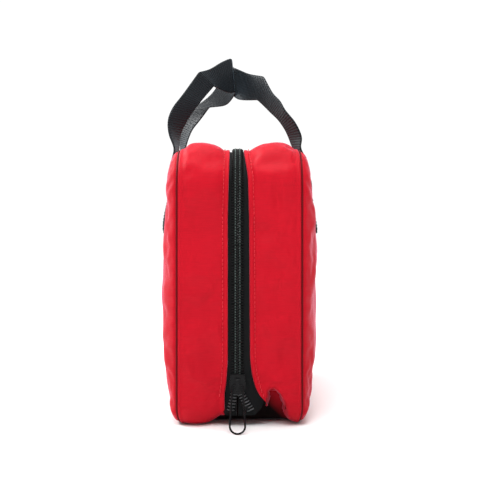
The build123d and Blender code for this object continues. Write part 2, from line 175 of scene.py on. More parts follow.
class Nodes(Tree):
    """A new material and the steps that its shader is built from."""

    def __init__(self, name):
        self.material = bpy.data.materials.new(name)
        self.material.use_nodes = True
        super().__init__(self.material.node_tree)
        self.shader = self.tree.nodes["Principled BSDF"]
        self.where = self.add("ShaderNodeTexCoord").outputs["Object"]

    def set(self, **sockets):
        """Values of the shader's own inputs, with _ for a space in their names."""
        for name, value in sockets.items():
            self.shader.inputs[name.replace("_", " ")].default_value = value

    def noise(self, scale, detail=3.0, stretch=None):
        """Cloudy noise, stretched along the axes if asked for."""
        node = self.add("ShaderNodeTexNoise", [("Scale", scale), ("Detail", detail)])
        source = self.where
        if stretch:
            mapping = self.add("ShaderNodeMapping", [("Scale", stretch)])
            self.link(self.where, mapping.inputs["Vector"])
            source = mapping.outputs["Vector"]
        self.link(source, node.inputs["Vector"])
        return node.outputs["Fac"]

    def thread(self, axis, pitch):
        """A wave with one crest per pitch (metres) along an axis, from 0 to 1."""
        turns = self.math("MULTIPLY", self.dot(self.where, axis), math.tau / pitch)
        return self.math("MULTIPLY_ADD", self.math("SINE", turns), 0.5, 0.5)

    def weave(self, across, up, pitch):
        """Two thread directions over each other."""
        return self.math("MULTIPLY", self.thread(across, pitch), self.thread(up, pitch))

    def uv_thread(self, along, pitch):
        """A wave from -1 to 1 on a strip: along is 0 for the UV's U and 1 for V, both in metres."""
        uv = self.add("ShaderNodeUVMap", uv_map="strip").outputs["UV"]
        turns = self.math("MULTIPLY", self.split(uv, along), math.tau / pitch)
        return self.math("SINE", turns)

    def ramp(self, fac, *stops):
        """Colours the surface. Each stop is (place, colour)."""
        node = self.add("ShaderNodeValToRGB")
        for element, (place, colour) in zip(node.color_ramp.elements, stops):
            element.position = place
            element.color = (*colour, 1)
        self.link(fac, node.inputs["Fac"])
        self.colour(node.outputs["Color"])

    def colour(self, socket):
        self.link(socket, self.shader.inputs["Base Color"])

    def bump(self, *layers):
        """Each layer is (height socket, strength, distance in metres)."""
        normal = None
        for height, strength, distance in layers:
            node = self.add("ShaderNodeBump", [("Strength", strength), ("Distance", distance)])
            self.link(height, node.inputs["Height"])
            if normal:
                self.link(normal, node.inputs["Normal"])
            normal = node.outputs["Normal"]
        self.link(normal, self.shader.inputs["Normal"])

    def roughness(self, fac, low, high):
        """Roughness from low to high, as fac goes from 0 to 1."""
        self.link(self.remap(fac, 0.0, 1.0, low, high), self.shader.inputs["Roughness"])


def shades(base, spread):
    """Darker and lighter versions of a colour."""
    return tuple(c * (1 - spread) for c in base), tuple(min(c * (1 + spread), 1) for c in base)


NYLON_PITCH = 0.0006  # threads of the nylon, in metres
SHADE_FADE_AXIS = (0.0, 0.9, 1.0)  # direction in which the liner's painted shade fades into red


def woven(name, base, pitch=NYLON_PITCH, spread=0.07, rough=(0.55, 0.72), sheen=0.1, tint=(1, 1, 1),
          depth=0.00008):
    """Plain-woven cloth: two thread directions, soft mottling and a little sheen."""
    n = Nodes(name)
    mottle = n.noise(28, 4)
    slub = n.noise(1, 3, stretch=(110, 110, 1300))
    dark, light = shades(base, spread)
    shade = n.math("ADD", n.math("MULTIPLY", mottle, 0.5), n.math("MULTIPLY", slub, 0.5))
    n.ramp(shade, (0.38, dark), (0.62, light))
    weave = n.weave((1, 1, 0), (0.35, -0.35, 1), pitch)
    n.bump((n.noise(9, 3), 0.25, 0.002), (slub, 0.3, 0.00025), (weave, 0.35, depth))
    n.roughness(mottle, *rough)
    n.set(Sheen_Weight=sheen, Sheen_Roughness=0.25, Sheen_Tint=(*tint, 1), Specular_IOR_Level=0.11)
    return n.material


def liner(name, foot, top, low, high):
    """Cloth inside the foot with painted shade: black low down and beside the zip, where the hollow fold and
    the gap under the slider lie in shadow, and a painted-light red higher up behind the fold, brighter than
    the nylon.

    low and high are where the change starts and ends, in metres along SHADE_FADE_AXIS.
    """
    n = Nodes(name)
    height = n.remap(n.dot(n.where, SHADE_FADE_AXIS), low, high)
    n.ramp(height, (0.0, foot), (1.0, top))
    n.bump((n.weave((0, 1, 0), (0, 0, 1), NYLON_PITCH), 0.35, 0.00008))
    n.roughness(n.noise(28, 4), 0.6, 0.8)
    n.set(Specular_IOR_Level=0.1)
    return n.material


def webbing(name, base, pitch=0.0022):
    """Ribbed strap: ribs across the strip and finer ones along it."""
    n = Nodes(name)
    ribs = n.uv_thread(0, pitch)
    rows = n.uv_thread(1, pitch)
    weave = n.math("ADD", ribs, n.math("MULTIPLY", n.math("MULTIPLY", ribs, rows), 0.4))
    dark, light = shades(base, 0.35)
    n.ramp(n.math("MULTIPLY_ADD", weave, 0.22, 0.5), (0.1, dark), (0.9, light))
    n.bump((weave, 0.45, 0.0003), (n.noise(400, 2), 0.15, 0.0002))
    n.roughness(n.noise(70, 4), 0.42, 0.62)
    n.set(Sheen_Weight=0.12, Sheen_Roughness=0.3, Sheen_Tint=(0.55, 0.8, 1, 1), Specular_IOR_Level=0.2)
    return n.material


def moulded(name, base, rough=(0.3, 0.45), coat=0.0, spread=0.05, specular=0.5):
    """Moulded or lacquered surface with faint grain and uneven gloss."""
    n = Nodes(name)
    cloud = n.noise(60, 4)
    dark, light = shades(base, spread)
    n.ramp(cloud, (0.3, dark), (0.7, light))
    n.bump((n.noise(900, 2), 0.12, 0.0001))
    n.roughness(cloud, *rough)
    n.set(Coat_Weight=coat, Coat_Roughness=0.2, Specular_IOR_Level=specular)
    return n.material


def brushed(name, base):
    """Steel with fine lengthwise scratches."""
    n = Nodes(name)
    streak = n.noise(260, 3, stretch=(9, 9, 0.5))
    dark, light = shades(base, 0.12)
    n.ramp(streak, (0.3, dark), (0.7, light))
    n.bump((streak, 0.15, 0.00008))
    n.roughness(streak, 0.22, 0.4)
    n.set(Metallic=1.0)
    return n.material


def crinkled(name, base, rough=(0.15, 0.3), metallic=0.0, scale=55, depth=0.0015, coat=0.3):
    """Film or paper packs with sharp random creases."""
    n = Nodes(name)
    cells = n.add("ShaderNodeTexVoronoi", [("Scale", scale)], feature="DISTANCE_TO_EDGE")
    n.link(n.where, cells.inputs["Vector"])
    cloud = n.noise(40, 4)
    dark, light = shades(base, 0.08)
    n.ramp(cloud, (0.3, dark), (0.7, light))
    n.bump((cells.outputs["Distance"], 0.5, depth), (cloud, 0.4, depth))
    n.roughness(cloud, *rough)
    n.set(Metallic=metallic, Coat_Weight=coat)
    return n.material


def gauze(name, base, pitch=0.0011):
    """Open cotton weave or crepe: coarse threads and fuzz."""
    n = Nodes(name)
    weave = n.weave((1, 1, 0), (0, 0, 1), pitch)
    dark, light = shades(base, 0.12)
    n.ramp(weave, (0.0, dark), (0.6, light))
    n.bump((n.noise(45, 3), 0.5, 0.001), (weave, 0.8, 0.0004))
    n.set(Roughness=0.9, Sheen_Weight=0.3)
    return n.material


def carton(name, base, panel, band_height):
    """Printed card box with a plain coloured band and worn edges."""
    n = Nodes(name)
    above = n.math("GREATER_THAN", n.split(n.where, 2), band_height)
    colours = [("A", (*base, 1)), ("B", (*panel, 1))]
    blend = n.add("ShaderNodeMix", colours, data_type="RGBA")
    n.link(above, blend.inputs["Factor"])
    n.colour(blend.outputs["Result"])
    n.bump((n.noise(500, 3), 0.1, 0.0002), (n.noise(12, 2), 0.3, 0.001))
    n.roughness(n.noise(80, 3), 0.35, 0.5)
    return n.material


def netting(name, base, pitch=0.0032):
    """See-through net: threads cross on the diagonal and the rest is open."""
    n = Nodes(name)
    strands = [n.math("GREATER_THAN", n.thread(axis, pitch), 0.82) for axis in ((1, 0, 1), (1, 0, -1))]
    n.link(n.math("MAXIMUM", *strands), n.shader.inputs["Alpha"])
    dark, light = shades(base, 0.2)
    n.ramp(n.noise(300, 2), (0.3, dark), (0.7, light))
    n.bump((n.noise(900, 2), 0.3, 0.0001))
    n.set(Roughness=0.7)
    return n.material


RED = (0.43, 0.0023, 0.0115)
DEEP_RED = (0.11, 0.001, 0.003)
BLACK = (0.004, 0.0045, 0.005)

nylon = woven("red_nylon", RED, sheen=0.45, tint=(1.0, 0.42, 0.6))
inner_cloth = woven("inner_cloth", (0.035, 0.036, 0.04), spread=0.1)
# Dark red binding tape; the seam cord in this colour is painted shade in the seam groove.
dark_binding = woven("dark_binding", DEEP_RED, pitch=0.0009, sheen=0.0)
# Painted shade: black at the foot and beside the zip, turning higher up behind the fold into a painted-light
# red brighter than the nylon.
painted_shade_foot_cloth = liner("painted_shade_foot_cloth", (0.004, 0.0006, 0.0008), (0.75, 0.006, 0.022), 0.032, 0.054)
lining_cloth = woven("lining_cloth", (0.16, 0.165, 0.175), pitch=0.0008, spread=0.1)
black_webbing = webbing("black_webbing", (0.005, 0.0075, 0.010))
elastic_cloth = woven("elastic_cloth", (0.02, 0.02, 0.023), pitch=0.0014, depth=0.0003)
tape_cloth = woven("zip_tape_cloth", BLACK, pitch=0.0007, rough=(0.6, 0.8), sheen=0.15)
# The open coil's black nylon, painted grey as its highlights.
open_coil_painted_highlight = moulded("open_coil_painted_highlight", (0.055, 0.06, 0.062), rough=(0.3, 0.45), specular=0.6)
coil_nylon = moulded("coil_nylon", (0.003, 0.0035, 0.0035), rough=(0.42, 0.55), specular=0.18)
# Black thread, painted grey-green as its highlights.
black_thread_painted_highlight = moulded("black_thread_painted_highlight", (0.09, 0.125, 0.115), rough=(0.5, 0.65), specular=0.3)
thread_red = moulded("thread_red", (0.62, 0.008, 0.022), rough=(0.5, 0.7))
black_lacquer = moulded("black_lacquer", (0.0015, 0.0015, 0.002), rough=(0.28, 0.4), spread=0.2,
                        specular=0.14)
steel = brushed("steel", (0.55, 0.56, 0.58))

# ---------------------------------------------------------------- mesh helpers


def add_mesh(name, verts, faces, material, uvs=None):
    """A mesh object from millimetre points. uvs gives one (u, v) in metres per vertex."""
    mesh = bpy.data.meshes.new(name)
    mesh.from_pydata([tuple(c * MM for c in v) for v in verts], [], faces)
    mesh.materials.append(material)
    if uvs:
        layer = mesh.uv_layers.new(name="strip")
        for loop in mesh.loops:
            layer.data[loop.index].uv = uvs[loop.vertex_index]
    mesh.polygons.foreach_set("use_smooth", [True] * len(mesh.polygons))
    mesh.update()
    piece = bpy.data.objects.new(name, mesh)
    bpy.context.scene.collection.objects.link(piece)
    return piece


def grid_faces(rows, columns, flip=False):
    """Quads that join neighbouring points of a grid."""
    faces = []
    for i in range(rows - 1):
        for j in range(columns - 1):
            a = i * columns + j
            quad = (a, a + 1, a + columns + 1, a + columns)
            faces.append(quad[::-1] if flip else quad)
    return faces


def strip_uvs(rows):
    """UVs in metres: U runs down the rows and V across them."""
    uvs = []
    along = 0.0
    for i, row in enumerate(rows):
        middle = len(row) // 2
        if i:
            along += (Vector(row[middle]) - Vector(rows[i - 1][middle])).length
        across = 0.0
        for j, point in enumerate(row):
            if j:
                across += (Vector(point) - Vector(row[j - 1])).length
            uvs.append((along * MM, across * MM))
    return uvs


def grid_object(name, rows, material, flip=False):
    """A cloth surface through rows of points, with the UVs of a strip."""
    verts, faces = grid_part(rows, flip)
    return add_mesh(name, verts, faces, material, strip_uvs(rows))


def add_modifier(piece, kind, **settings):
    """A modifier on a piece, with its settings."""
    modifier = piece.modifiers.new(kind.lower(), kind)
    for key, value in settings.items():
        setattr(modifier, key, value)
    return modifier


def subdivide(piece):
    """Rounds a piece with one level of subdivision."""
    return add_modifier(piece, "SUBSURF", levels=1, render_levels=1)


def thicken(piece, amount, inner=None, offset=-1.0):
    """Gives a cloth surface its thickness, with another material inside if one is named."""
    if inner:
        piece.data.materials.append(inner)
    shift = 1 if inner else 0
    return add_modifier(piece, "SOLIDIFY", thickness=amount * MM, offset=offset, material_offset=shift)


def tube_mesh(path, radius, sides=6):
    """Vertices and faces of a capped tube along a list of points."""
    verts, faces = [], []
    up = Vector((0.13, 0.21, 0.97))
    count = len(path)
    for i, point in enumerate(path):
        ahead = path[min(i + 1, count - 1)] - path[max(i - 1, 0)]
        side = ahead.cross(up).normalized()
        top = side.cross(ahead).normalized()
        for k in range(sides):
            angle = math.tau * k / sides
            verts.append(point + (side * math.cos(angle) + top * math.sin(angle)) * radius)
    for i in range(count - 1):
        for k in range(sides):
            a, b = i * sides + k, i * sides + (k + 1) % sides
            faces.append((a, b, b + sides, a + sides))
    faces.append(tuple(range(sides))[::-1])
    faces.append(tuple(range((count - 1) * sides, count * sides)))
    return verts, faces


def join(parts):
    """Vertices and faces of many (vertices, faces) parts together."""
    verts, faces = [], []
    for part_verts, part_faces in parts:
        start = len(verts)
        verts += part_verts
        faces += [tuple(start + i for i in face) for face in part_faces]
    return verts, faces


def grid_part(rows, flip=False):
    """Vertices and faces of one grid of points."""
    return [point for row in rows for point in row], grid_faces(len(rows), len(rows[0]), flip)


def tubes_object(name, paths, radius, material, sides=6):
    """One object that holds a tube along each path."""
    verts, faces = join([tube_mesh(path, radius, sides) for path in paths])
    return add_mesh(name, verts, faces, material)


def stitch(start, end, rise):
    """Path of one stitch, bowed out of the cloth at its middle."""
    return [start, (start + end) / 2 + rise, end]


def edit_mesh(piece, change):
    """Runs one bmesh change on a piece's mesh."""
    mesh = bmesh.new()
    mesh.from_mesh(piece.data)
    change(mesh)
    mesh.to_mesh(piece.data)
    mesh.free()


def middle_and_half(low, high):
    """The middle of a box and half its size."""
    return (low + high) / 2, (high - low) / 2


# ---------------------------------------------------------------- riding on the frame


def blend_lid(piece):
    """Bakes a piece's transform into its mesh and leaves it on no body."""
    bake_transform(piece)


def attach(piece, slot, *nodes, side=REAR, folds=False, fill=None):
    """Puts a piece on its half of the bag, in place of its CAD nodes.

    folds leaves a front piece on no body, with its transform baked into its mesh, and fill is not used.
    """
    if folds and side == FRONT:
        blend_lid(piece)
    else:
        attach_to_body(piece, named(side, "shell"))
    if nodes:
        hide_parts(*nodes)


# ---------------------------------------------------------------- the bag's outline


def arc_stations(centre, radius, start, end, spacing):
    """Points with normals along an arc in the XZ plane. Angles in degrees from +X."""
    steps = max(2, round(math.radians(abs(end - start)) * radius / spacing))
    stations = []
    for i in range(steps + 1):
        angle = math.radians(mix(start, end, i / steps))
        normal = (math.cos(angle), math.sin(angle))
        stations.append((centre[0] + radius * normal[0], centre[1] + radius * normal[1], *normal))
    return stations


def line_stations(start, end, normal, spacing):
    """Points with normals along a straight run, without its two ends."""
    length = math.dist(start, end)
    steps = max(1, round(length / spacing))
    shares = [i / steps for i in range(1, steps)]
    return [(mix(start[0], end[0], t), mix(start[1], end[1], t), *normal) for t in shares]


def outline_stations(spacing=4.0, foot=FOOT_RADIUS):
    """The bag's side outline from the near foot, over the top, to the far foot: (x, z, nx, nz)."""
    right, top = END_X - TOP_RADIUS, TOP_Z - TOP_RADIUS
    near = arc_stations((END_X - foot, foot), foot, -90, 0, spacing * 0.5)
    near += line_stations((END_X, foot), (END_X, foot + 24), (1, 0), spacing * 0.5)
    near += line_stations((END_X, foot + 24 - spacing), (END_X, top), (1, 0), spacing)
    near += arc_stations((right, top), TOP_RADIUS, 0, 90, spacing)
    over = line_stations((right, TOP_Z), (-right, TOP_Z), (0, 1), spacing)
    far = [(-x, z, -nx, nz) for x, z, nx, nz in reversed(near)]
    return near + over + far


def tuck(z):
    """How far the seam sits inward near the foot."""
    return TUCK * max(0.0, 1 - z / 14) ** 2


def lift(y):
    """How far the middle of the foot is lifted off the ground at the two ends."""
    if y < 0:
        return 6.0 * smooth((30 + y) / 18)
    return 7.0 * smooth((46 - y) / 14)


def foot_lift(x, y, z):
    """Lift for a point of the shell, strongest at the foot of both ends."""
    return lift(y) * smooth((34 - z) / 30) * smooth((abs(x) - 55) / 50)


# The fabric edges beside the zip on the near end, from the foot up: (z, y)
NEAR_FRONT_EDGE = [(0, -11.0), (12, -11.4), (24, -11.2), (34, -9.8), (50, -8.8), (160, -8.8),
                   (206, -7.6)]
NEAR_REAR_EDGE = [(0, 21.0), (11, 20.6), (14, 19.4), (19, 16.0), (28, 12.4), (40, 9.2), (52, 7.8),
                  (157, 7.2), (190, 6.2), (204, 4.2), (212, 3.2)]

NOTCH_TOP = 32.5  # height of the hollow fold at the foot of the near end
NOTCH_DEPTH = 13.5
# Sides of the hollow fold: (z, y)
NOTCH_LEFT = [(0, 17.0), (8, 20.2), (14.4, 20.8), (25, 21.6), (32.5, 23.4)]
NOTCH_RIGHT = [(0, 37.0), (9, 35.6), (18, 32.8), (25.6, 29.2), (32.5, 25.4)]


def look_up(table, key):
    """Value read off a list of (key, value) pairs, with straight runs between them."""
    if key <= table[0][0]:
        return table[0][1]
    for (k0, v0), (k1, v1) in zip(table, table[1:]):
        if key <= k1:
            return mix(v0, v1, (key - k0) / (k1 - k0))
    return table[-1][1]


def zip_edge(side, x, z):
    """Y of the fabric edge beside the zip."""
    if side == FRONT:
        near, plain = look_up(NEAR_FRONT_EDGE, z), FRONT_EDGE
    else:
        near, plain = look_up(NEAR_REAR_EDGE, z), REAR_EDGE
    return mix(plain, near, smooth((x - 40) / 50))


def seam_y(side, z):
    """Y of the seam between a strip and its panel."""
    return side * (SEAM_Y + 0.4 - tuck(z))


# ---------------------------------------------------------------- end and top strips (gussets)

WAVES = [(0.031, 0.9, 1.3), (0.053, 2.1, 0.9), (0.083, 4.4, 0.55)]


def slow_wave(s, phase):
    """Uneven gentle wave along a strip, roughly -1 to 1."""
    return sum(size * math.sin(s * rate * 2 + shift + phase) for rate, shift, size in WAVES) / 2.2


# Soft dents in the near end's cloth: (side, y, z, half width, half height, depth)
DENTS = [
    (FRONT, -22, 201, 8, 5, 3.0), (FRONT, -35, 152, 6, 24, 2.3), (FRONT, -24, 112, 8, 28, 2.6),
    (FRONT, -36, 84, 5, 20, 1.8), (FRONT, -22, 52, 7, 18, 2.2), (REAR, 11, 206, 4, 6, 3.0),
    (REAR, 27, 199, 11, 4, 2.4), (REAR, 29, 172, 4, 17, 3.0), (REAR, 20, 148, 8, 8, 2.4),
    (REAR, 29, 108, 7, 26, 2.8), (REAR, 16, 80, 5, 18, 1.8), (REAR, 33, 56, 5, 15, 2.0),
]


def dents(side, x, y, z):
    """How deep the cloth is dented at a point of the near end."""
    if x < 40:
        return 0.0
    total = 0.0
    for dent_side, dy, dz, half_w, half_h, depth in DENTS:
        if dent_side == side:
            total += depth * math.exp(-((y - dy) / half_w) ** 2 - ((z - dz) / half_h) ** 2)
    return total


def puff(side, z, c, s):
    """How far the strip swells out between its seam (c = 0) and the zip edge (c = 1)."""
    top = smooth((z - 150) / 60)  # the strip is fuller near the top
    height = 2.2 + 3.0 * top
    hump = math.sin(math.pi * c ** 0.82) ** mix(1.3, 0.9, top)
    ripple = 0.5 * slow_wave(s, 2.5 * side) * math.sin(math.pi * c)
    return height * hump + ripple - 1.6 * top * smooth((c - 0.6) / 0.4)


def notch(side, x, y, z):
    """The hollow fold at the foot of the near end, behind the zip. Returns a shift along X."""
    if side == FRONT or x < NEAR_X or z > NOTCH_TOP:
        return 0.0
    left, right = look_up(NOTCH_LEFT, z), look_up(NOTCH_RIGHT, z)
    place = abs(2 * (y - left) / (right - left) - 1)
    depth = NOTCH_DEPTH * smooth((NOTCH_TOP - z) / 13)
    return -depth * (1 - smooth((place - 0.6) / 0.5))


def pucker(s, distance, size=0.4, reach=7.0):
    """Small gathers that run out of a sewn seam. s runs along the seam, distance away from it."""
    wave = math.sin(s * 0.52 + 1.7 * math.sin(s * 0.071)) + 0.6 * math.sin(s * 0.83 + 2.0)
    return size * wave * math.exp(-distance / reach)


def crumple(point, scale):
    """Smooth random value from -1 to 1 at a point in millimetres."""
    return noise.noise(Vector(point) * scale)


def gusset_columns(width):
    """Distances in from the seam, closer together near the seam and the zip edge."""
    seam_side = [0.0, 0.9, 1.8, 2.9, 4.4]
    zip_side = [4.6, 3.4, 2.2, 1.0, 0.2]
    steps = max(4, round((width - 9) / 2.0))
    return seam_side + evenly(6.4, width - 6.4, steps) + [width - step for step in zip_side]


def gusset_rise(distance, width):
    """Piping at the seam and the stitched fold at the zip edge."""
    to_edge = width - distance
    rise = 1.0 * math.exp(-((distance - 1.6) / 1.1) ** 2)
    rise -= 1.4 * math.exp(-(distance / 0.6) ** 2)
    rise -= 0.55 * math.exp(-((to_edge - 4.0) / 0.7) ** 2)
    rise += 0.5 * math.exp(-((to_edge - 1.6) / 1.2) ** 2)
    return rise


def hem_reach(side, x, edge, z):
    """How far the hem runs back under the cloth: less where the flap beside the hollow fold narrows."""
    if side == FRONT or x < NEAR_X or z > NOTCH_TOP:
        return HEM
    return min(HEM, max(look_up(NOTCH_LEFT, z) - edge - 0.6, 0.4))


def gusset_rows(side, stations):
    """Rows of points across one strip, one row for each outline station."""
    width_here = SEAM_Y - abs(FRONT_EDGE if side == FRONT else REAR_EDGE)
    columns = gusset_columns(width_here)
    rows = []
    s = 0.0
    for i, (x, z, nx, nz) in enumerate(stations):
        if i:
            s += math.dist((x, z), stations[i - 1][:2])
        seam, edge = seam_y(side, z), zip_edge(side, x, z)
        row = []
        for distance in columns:
            c = distance / width_here
            y = mix(seam, edge, c)
            out = puff(side, z, c, s) - dents(side, x, y, z)
            out += pucker(s, distance) + pucker(s + 40, width_here - distance, 0.3, 6.0)
            out += 0.9 * crumple((x, y, z * 0.5), 1 / 17) * math.sin(math.pi * c)
            out *= smooth((c - 0.02) / 0.16) * smooth((1.02 - c) / 0.25)
            out += gusset_rise(distance, width_here)
            dx = notch(side, x, y, z)
            height = z + nz * out
            row.append((x + nx * out + dx, y, max(height + foot_lift(x, y, z), GROUND_GAP)))
        dx = notch(side, x, edge, z)
        inner = (x - nx * 1.3 + dx, edge - side * 0.15, z - nz * 1.3 + foot_lift(x, edge, z))
        under = edge + side * hem_reach(side, x, edge, z)
        back = (x - nx * 1.5 + notch(side, x, under, z), under, z - nz * 1.5 + foot_lift(x, edge, z))
        row += [inner, back]
        rows.append(row)
    return rows


SWELL_FRAMES = 26
DEEPEST = 0.7  # how far swelling may push a point inward


def cloth_swell(piece, free, slack, pressure, cap, seed_noise, stiffness):
    """Lets part of a cloth mesh swell and wrinkle. free gives 0 (held) to 1 for each vertex."""
    start = [v.co.copy() for v in piece.data.vertices]
    outward = [v.normal.copy() for v in piece.data.vertices]
    jitter = random.Random(11)
    group = piece.vertex_groups.new(name="held")
    for i, share in enumerate(free):
        group.add([i], 1.0 - share, "REPLACE")
        if share > 0:
            vertex = piece.data.vertices[i]
            vertex.co += vertex.normal * jitter.uniform(-1, 1) * seed_noise * MM
    cloth = piece.modifiers.new("cloth", "CLOTH")
    settings = {
        "quality": 6, "mass": 0.15, "tension_stiffness": 25, "compression_stiffness": 25,
        "shear_stiffness": 10, "bending_stiffness": stiffness, "vertex_group_mass": "held",
        "shrink_min": -slack, "use_pressure": True, "uniform_pressure_force": pressure,
    }
    for key, value in settings.items():
        setattr(cloth.settings, key, value)
    cloth.settings.effector_weights.gravity = 0
    cloth.collision_settings.use_collision = False
    cloth.collision_settings.use_self_collision = False
    cloth.point_cache.frame_end = SWELL_FRAMES
    scene = bpy.context.scene
    for number in range(1, SWELL_FRAMES + 1):
        scene.frame_set(number)
    shaped = piece.evaluated_get(bpy.context.evaluated_depsgraph_get())
    moved = [v.co.copy() for v in shaped.data.vertices]
    piece.modifiers.remove(cloth)
    piece.vertex_groups.remove(group)
    scene.frame_set(1)
    for i, vertex in enumerate(piece.data.vertices):
        shift = moved[i] - start[i]
        if shift.length > cap * MM:
            shift *= cap * MM / shift.length
        inward = -shift.dot(outward[i])
        if inward > DEEPEST * MM:
            shift += outward[i] * (inward - DEEPEST * MM)
        vertex.co = start[i] + shift
    piece.data.update()


def make_gusset(side):
    """One end and top strip, from its seam to the fabric edge beside the zip."""
    stations = outline_stations()
    rows = gusset_rows(side, stations)
    piece = grid_object(named(side, "end_strip"), rows, nylon, flip=side == REAR)
    columns = len(rows[0])
    sunk = []
    for (x, z, _, _), row in zip(stations, rows):
        for j, (_, y, _) in enumerate(row):
            limit = 2.0 if j >= columns - 3 else NOTCH_DEPTH * 0.7  # the hem sinks less
            sunk.append(notch(side, x, y, z) < -limit)
    free = []
    for _, z, _, _ in stations:
        share = smooth((z - 14) / 22)  # held at its foot, its seam and its hem
        free += [share if 5 <= j < columns - 7 else 0.0 for j in range(columns)]
    cloth_swell(piece, free, slack=0.035, pressure=0.6, cap=4.0, seed_noise=0.3, stiffness=0.6)
    open_fold(piece, sunk)
    subdivide(piece)
    thicken(piece, CLOTH, inner_cloth)
    return piece


def open_fold(piece, sunk):
    """Removes the faces whose points are all sunk, where the fold at the foot gapes open."""
    def change(mesh):
        gone = [face for face in mesh.faces if all(sunk[vert.index] for vert in face.verts)]
        bmesh.ops.delete(mesh, geom=gone, context="FACES")

    edit_mesh(piece, change)


# ---------------------------------------------------------------- stuffed panels


def ring_point(u, v, shrink):
    """A point of the panel's outline grid: u and v run from -1 to 1."""
    m = max(abs(u), abs(v), 1e-6)
    inset = (1 - m) * TOP_Z / 2
    half_w, half_h = END_X - inset - shrink, TOP_Z / 2 - inset - shrink
    x, z = u / m * half_w, v / m * half_h
    radius = max((TOP_RADIUS if v > 0 else FOOT_RADIUS) - inset - shrink, 0.0)
    dx, dz = half_w - abs(x), half_h - abs(z)
    if radius > 0 and max(dx, dz) < radius:
        reach = max(dx, dz) / radius
        angle = math.radians(45 * (1 - reach))
        if dx < dz:
            nx, nz = math.cos(angle), math.sin(angle)
        else:
            nx, nz = math.sin(angle), math.cos(angle)
        x = math.copysign(half_w - radius + radius * nx, x)
        z = math.copysign(half_h - radius + radius * nz, z)
    return x, z + TOP_Z / 2, inset


# How far in from each border the stuffing goes on thickening
END_SLOPE, TOP_SLOPE, FOOT_SLOPE = 112, 95, 70


def fullness(x, z, inset):
    """How far the stuffed panel stands out of its seam plane."""
    quarter = math.pi / 2
    ends = math.sin(quarter * min(1.0, (END_X - abs(x)) / END_SLOPE))
    above = (1 - math.cos(math.pi * min(1.0, max(TOP_Z - z, 0) / TOP_SLOPE))) / 2
    below = math.sin(quarter * min(1.0, max(z, 0) / FOOT_SLOPE))
    waist = 1 - 0.26 * math.exp(-((z - 24) / 18) ** 2)  # drawn in a little above the foot
    return STUFFING * waist * (1 - math.exp(-inset / 4.5)) * (0.38 + 0.62 * ends * above * below)


def panel_folds(x, z, inset, side):
    """Gathers along the seam and the slack of the cloth over the stuffing."""
    around = math.atan2(z - TOP_Z / 2, x) * 120
    slack = 2.4 * crumple((x, side * 40, z * 0.7), 1 / 44)
    slack += 1.3 * crumple((x * 0.6, side * 90, z), 1 / 21)
    return pucker(around, inset, 0.7, 9.0) * smooth(inset / 3) + slack * smooth(inset / 22)


def panel_lines(count, edge_steps):
    """Grid values from -1 to 1, with extra lines close to both borders."""
    near = [1 - step / (TOP_Z / 2) for step in edge_steps]
    inner = [value for value in evenly(-1, 1, count) if abs(value) < near[-1] - 0.02]
    return [-value for value in near] + inner + near[::-1]


def panel_rows(side):
    """Rows of points over one stuffed panel, from its foot up."""
    def point(v, u):
        x, z, inset = ring_point(u, v, 0.0)
        if inset < 0.01:  # the outermost ring folds in behind the seam
            x, z, _ = ring_point(u, v, 1.6)
            y = SEAM_Y + 0.4
        else:
            y = SEAM_Y + 1.2 + fullness(x, z, inset) + panel_folds(x, z, inset, side)
        return x, side * (y - tuck(z)), max(z, GROUND_GAP)

    lines = panel_lines(64, [0.0, 1.0, 2.6, 4.6, 7.0])
    return grid_rows(lines, lines, point)


def make_panel(side):
    """One stuffed panel, held at its seam and its foot while it swells."""
    rows = panel_rows(side)
    piece = grid_object(named(side, "panel_cloth"), rows, nylon, flip=side == REAR)
    size = len(rows)
    free = []
    for i in range(size):
        for j in range(size):
            ring = min(i, j, size - 1 - i, size - 1 - j)
            low = smooth((rows[i][j][2] - 3) / 18)
            free.append(min(1.0, max(0.0, (ring - 2) / 3)) * low)
    cloth_swell(piece, free, slack=0.02, pressure=1.2, cap=2.2, seed_noise=0.4, stiffness=1.5)
    subdivide(piece)
    thicken(piece, CLOTH, inner_cloth)
    return piece


QUILT = 34.0  # spacing of the diagonal quilting
BOARD_GAP = 2.4  # from the panel's outside to the board
BOARD_DEPTH = 5.6  # from the panel's outside to the board's inner face


def net_depth(side):
    """How far a net pocket stands from the middle of the bag."""
    low, high = mm_box(named(side, "net_pocket"))
    return abs(low.y + high.y) / 2


def make_board(side, tree):
    """The padded lining board, a little way inside the panel cloth and shaped to it."""
    low, high = mm_box(named(side, "lining"))
    half_w, half_h = high.x, (high.z - low.z) / 2
    radius, thick = 14.0, 3.4

    def point(v, u):
        edge = 1 - max(abs(u), abs(v))
        x, z = u * half_w, v * half_h
        dx, dz = half_w - abs(x), half_h - abs(z)
        if max(dx, dz) < radius:
            scale = max(radius - dx, radius - dz) / math.hypot(radius - dx, radius - dz)
            x = math.copysign(half_w - radius + (radius - dx) * scale, x)
            z = math.copysign(half_h - radius + (radius - dz) * scale, z)
        z += (high.z + low.z) / 2
        quilt = sum(abs(math.sin(math.pi * run / QUILT)) ** 0.5 for run in (x + z, x - z)) / 2
        puffed = thick * min(1.0, (edge * 12) ** 0.5) * (0.55 + 0.45 * quilt)
        cover = surface_y(tree, side, x, z)
        room = abs(cover) - BOARD_GAP - net_depth(side) - 1.4
        return x, cover - side * (BOARD_GAP + max(min(puffed, room), 0.6)), z

    rows = grid_rows(evenly(-1, 1, 38), evenly(-1, 1, 44), point)
    piece = grid_object(named(side, "lining_board"), rows, lining_cloth, flip=side == FRONT)
    thicken(piece, 1.2)
    return piece


def board_y(tree, side, x, z):
    """Y of a lining board's inner face."""
    return surface_y(tree, side, x, z) - side * BOARD_DEPTH


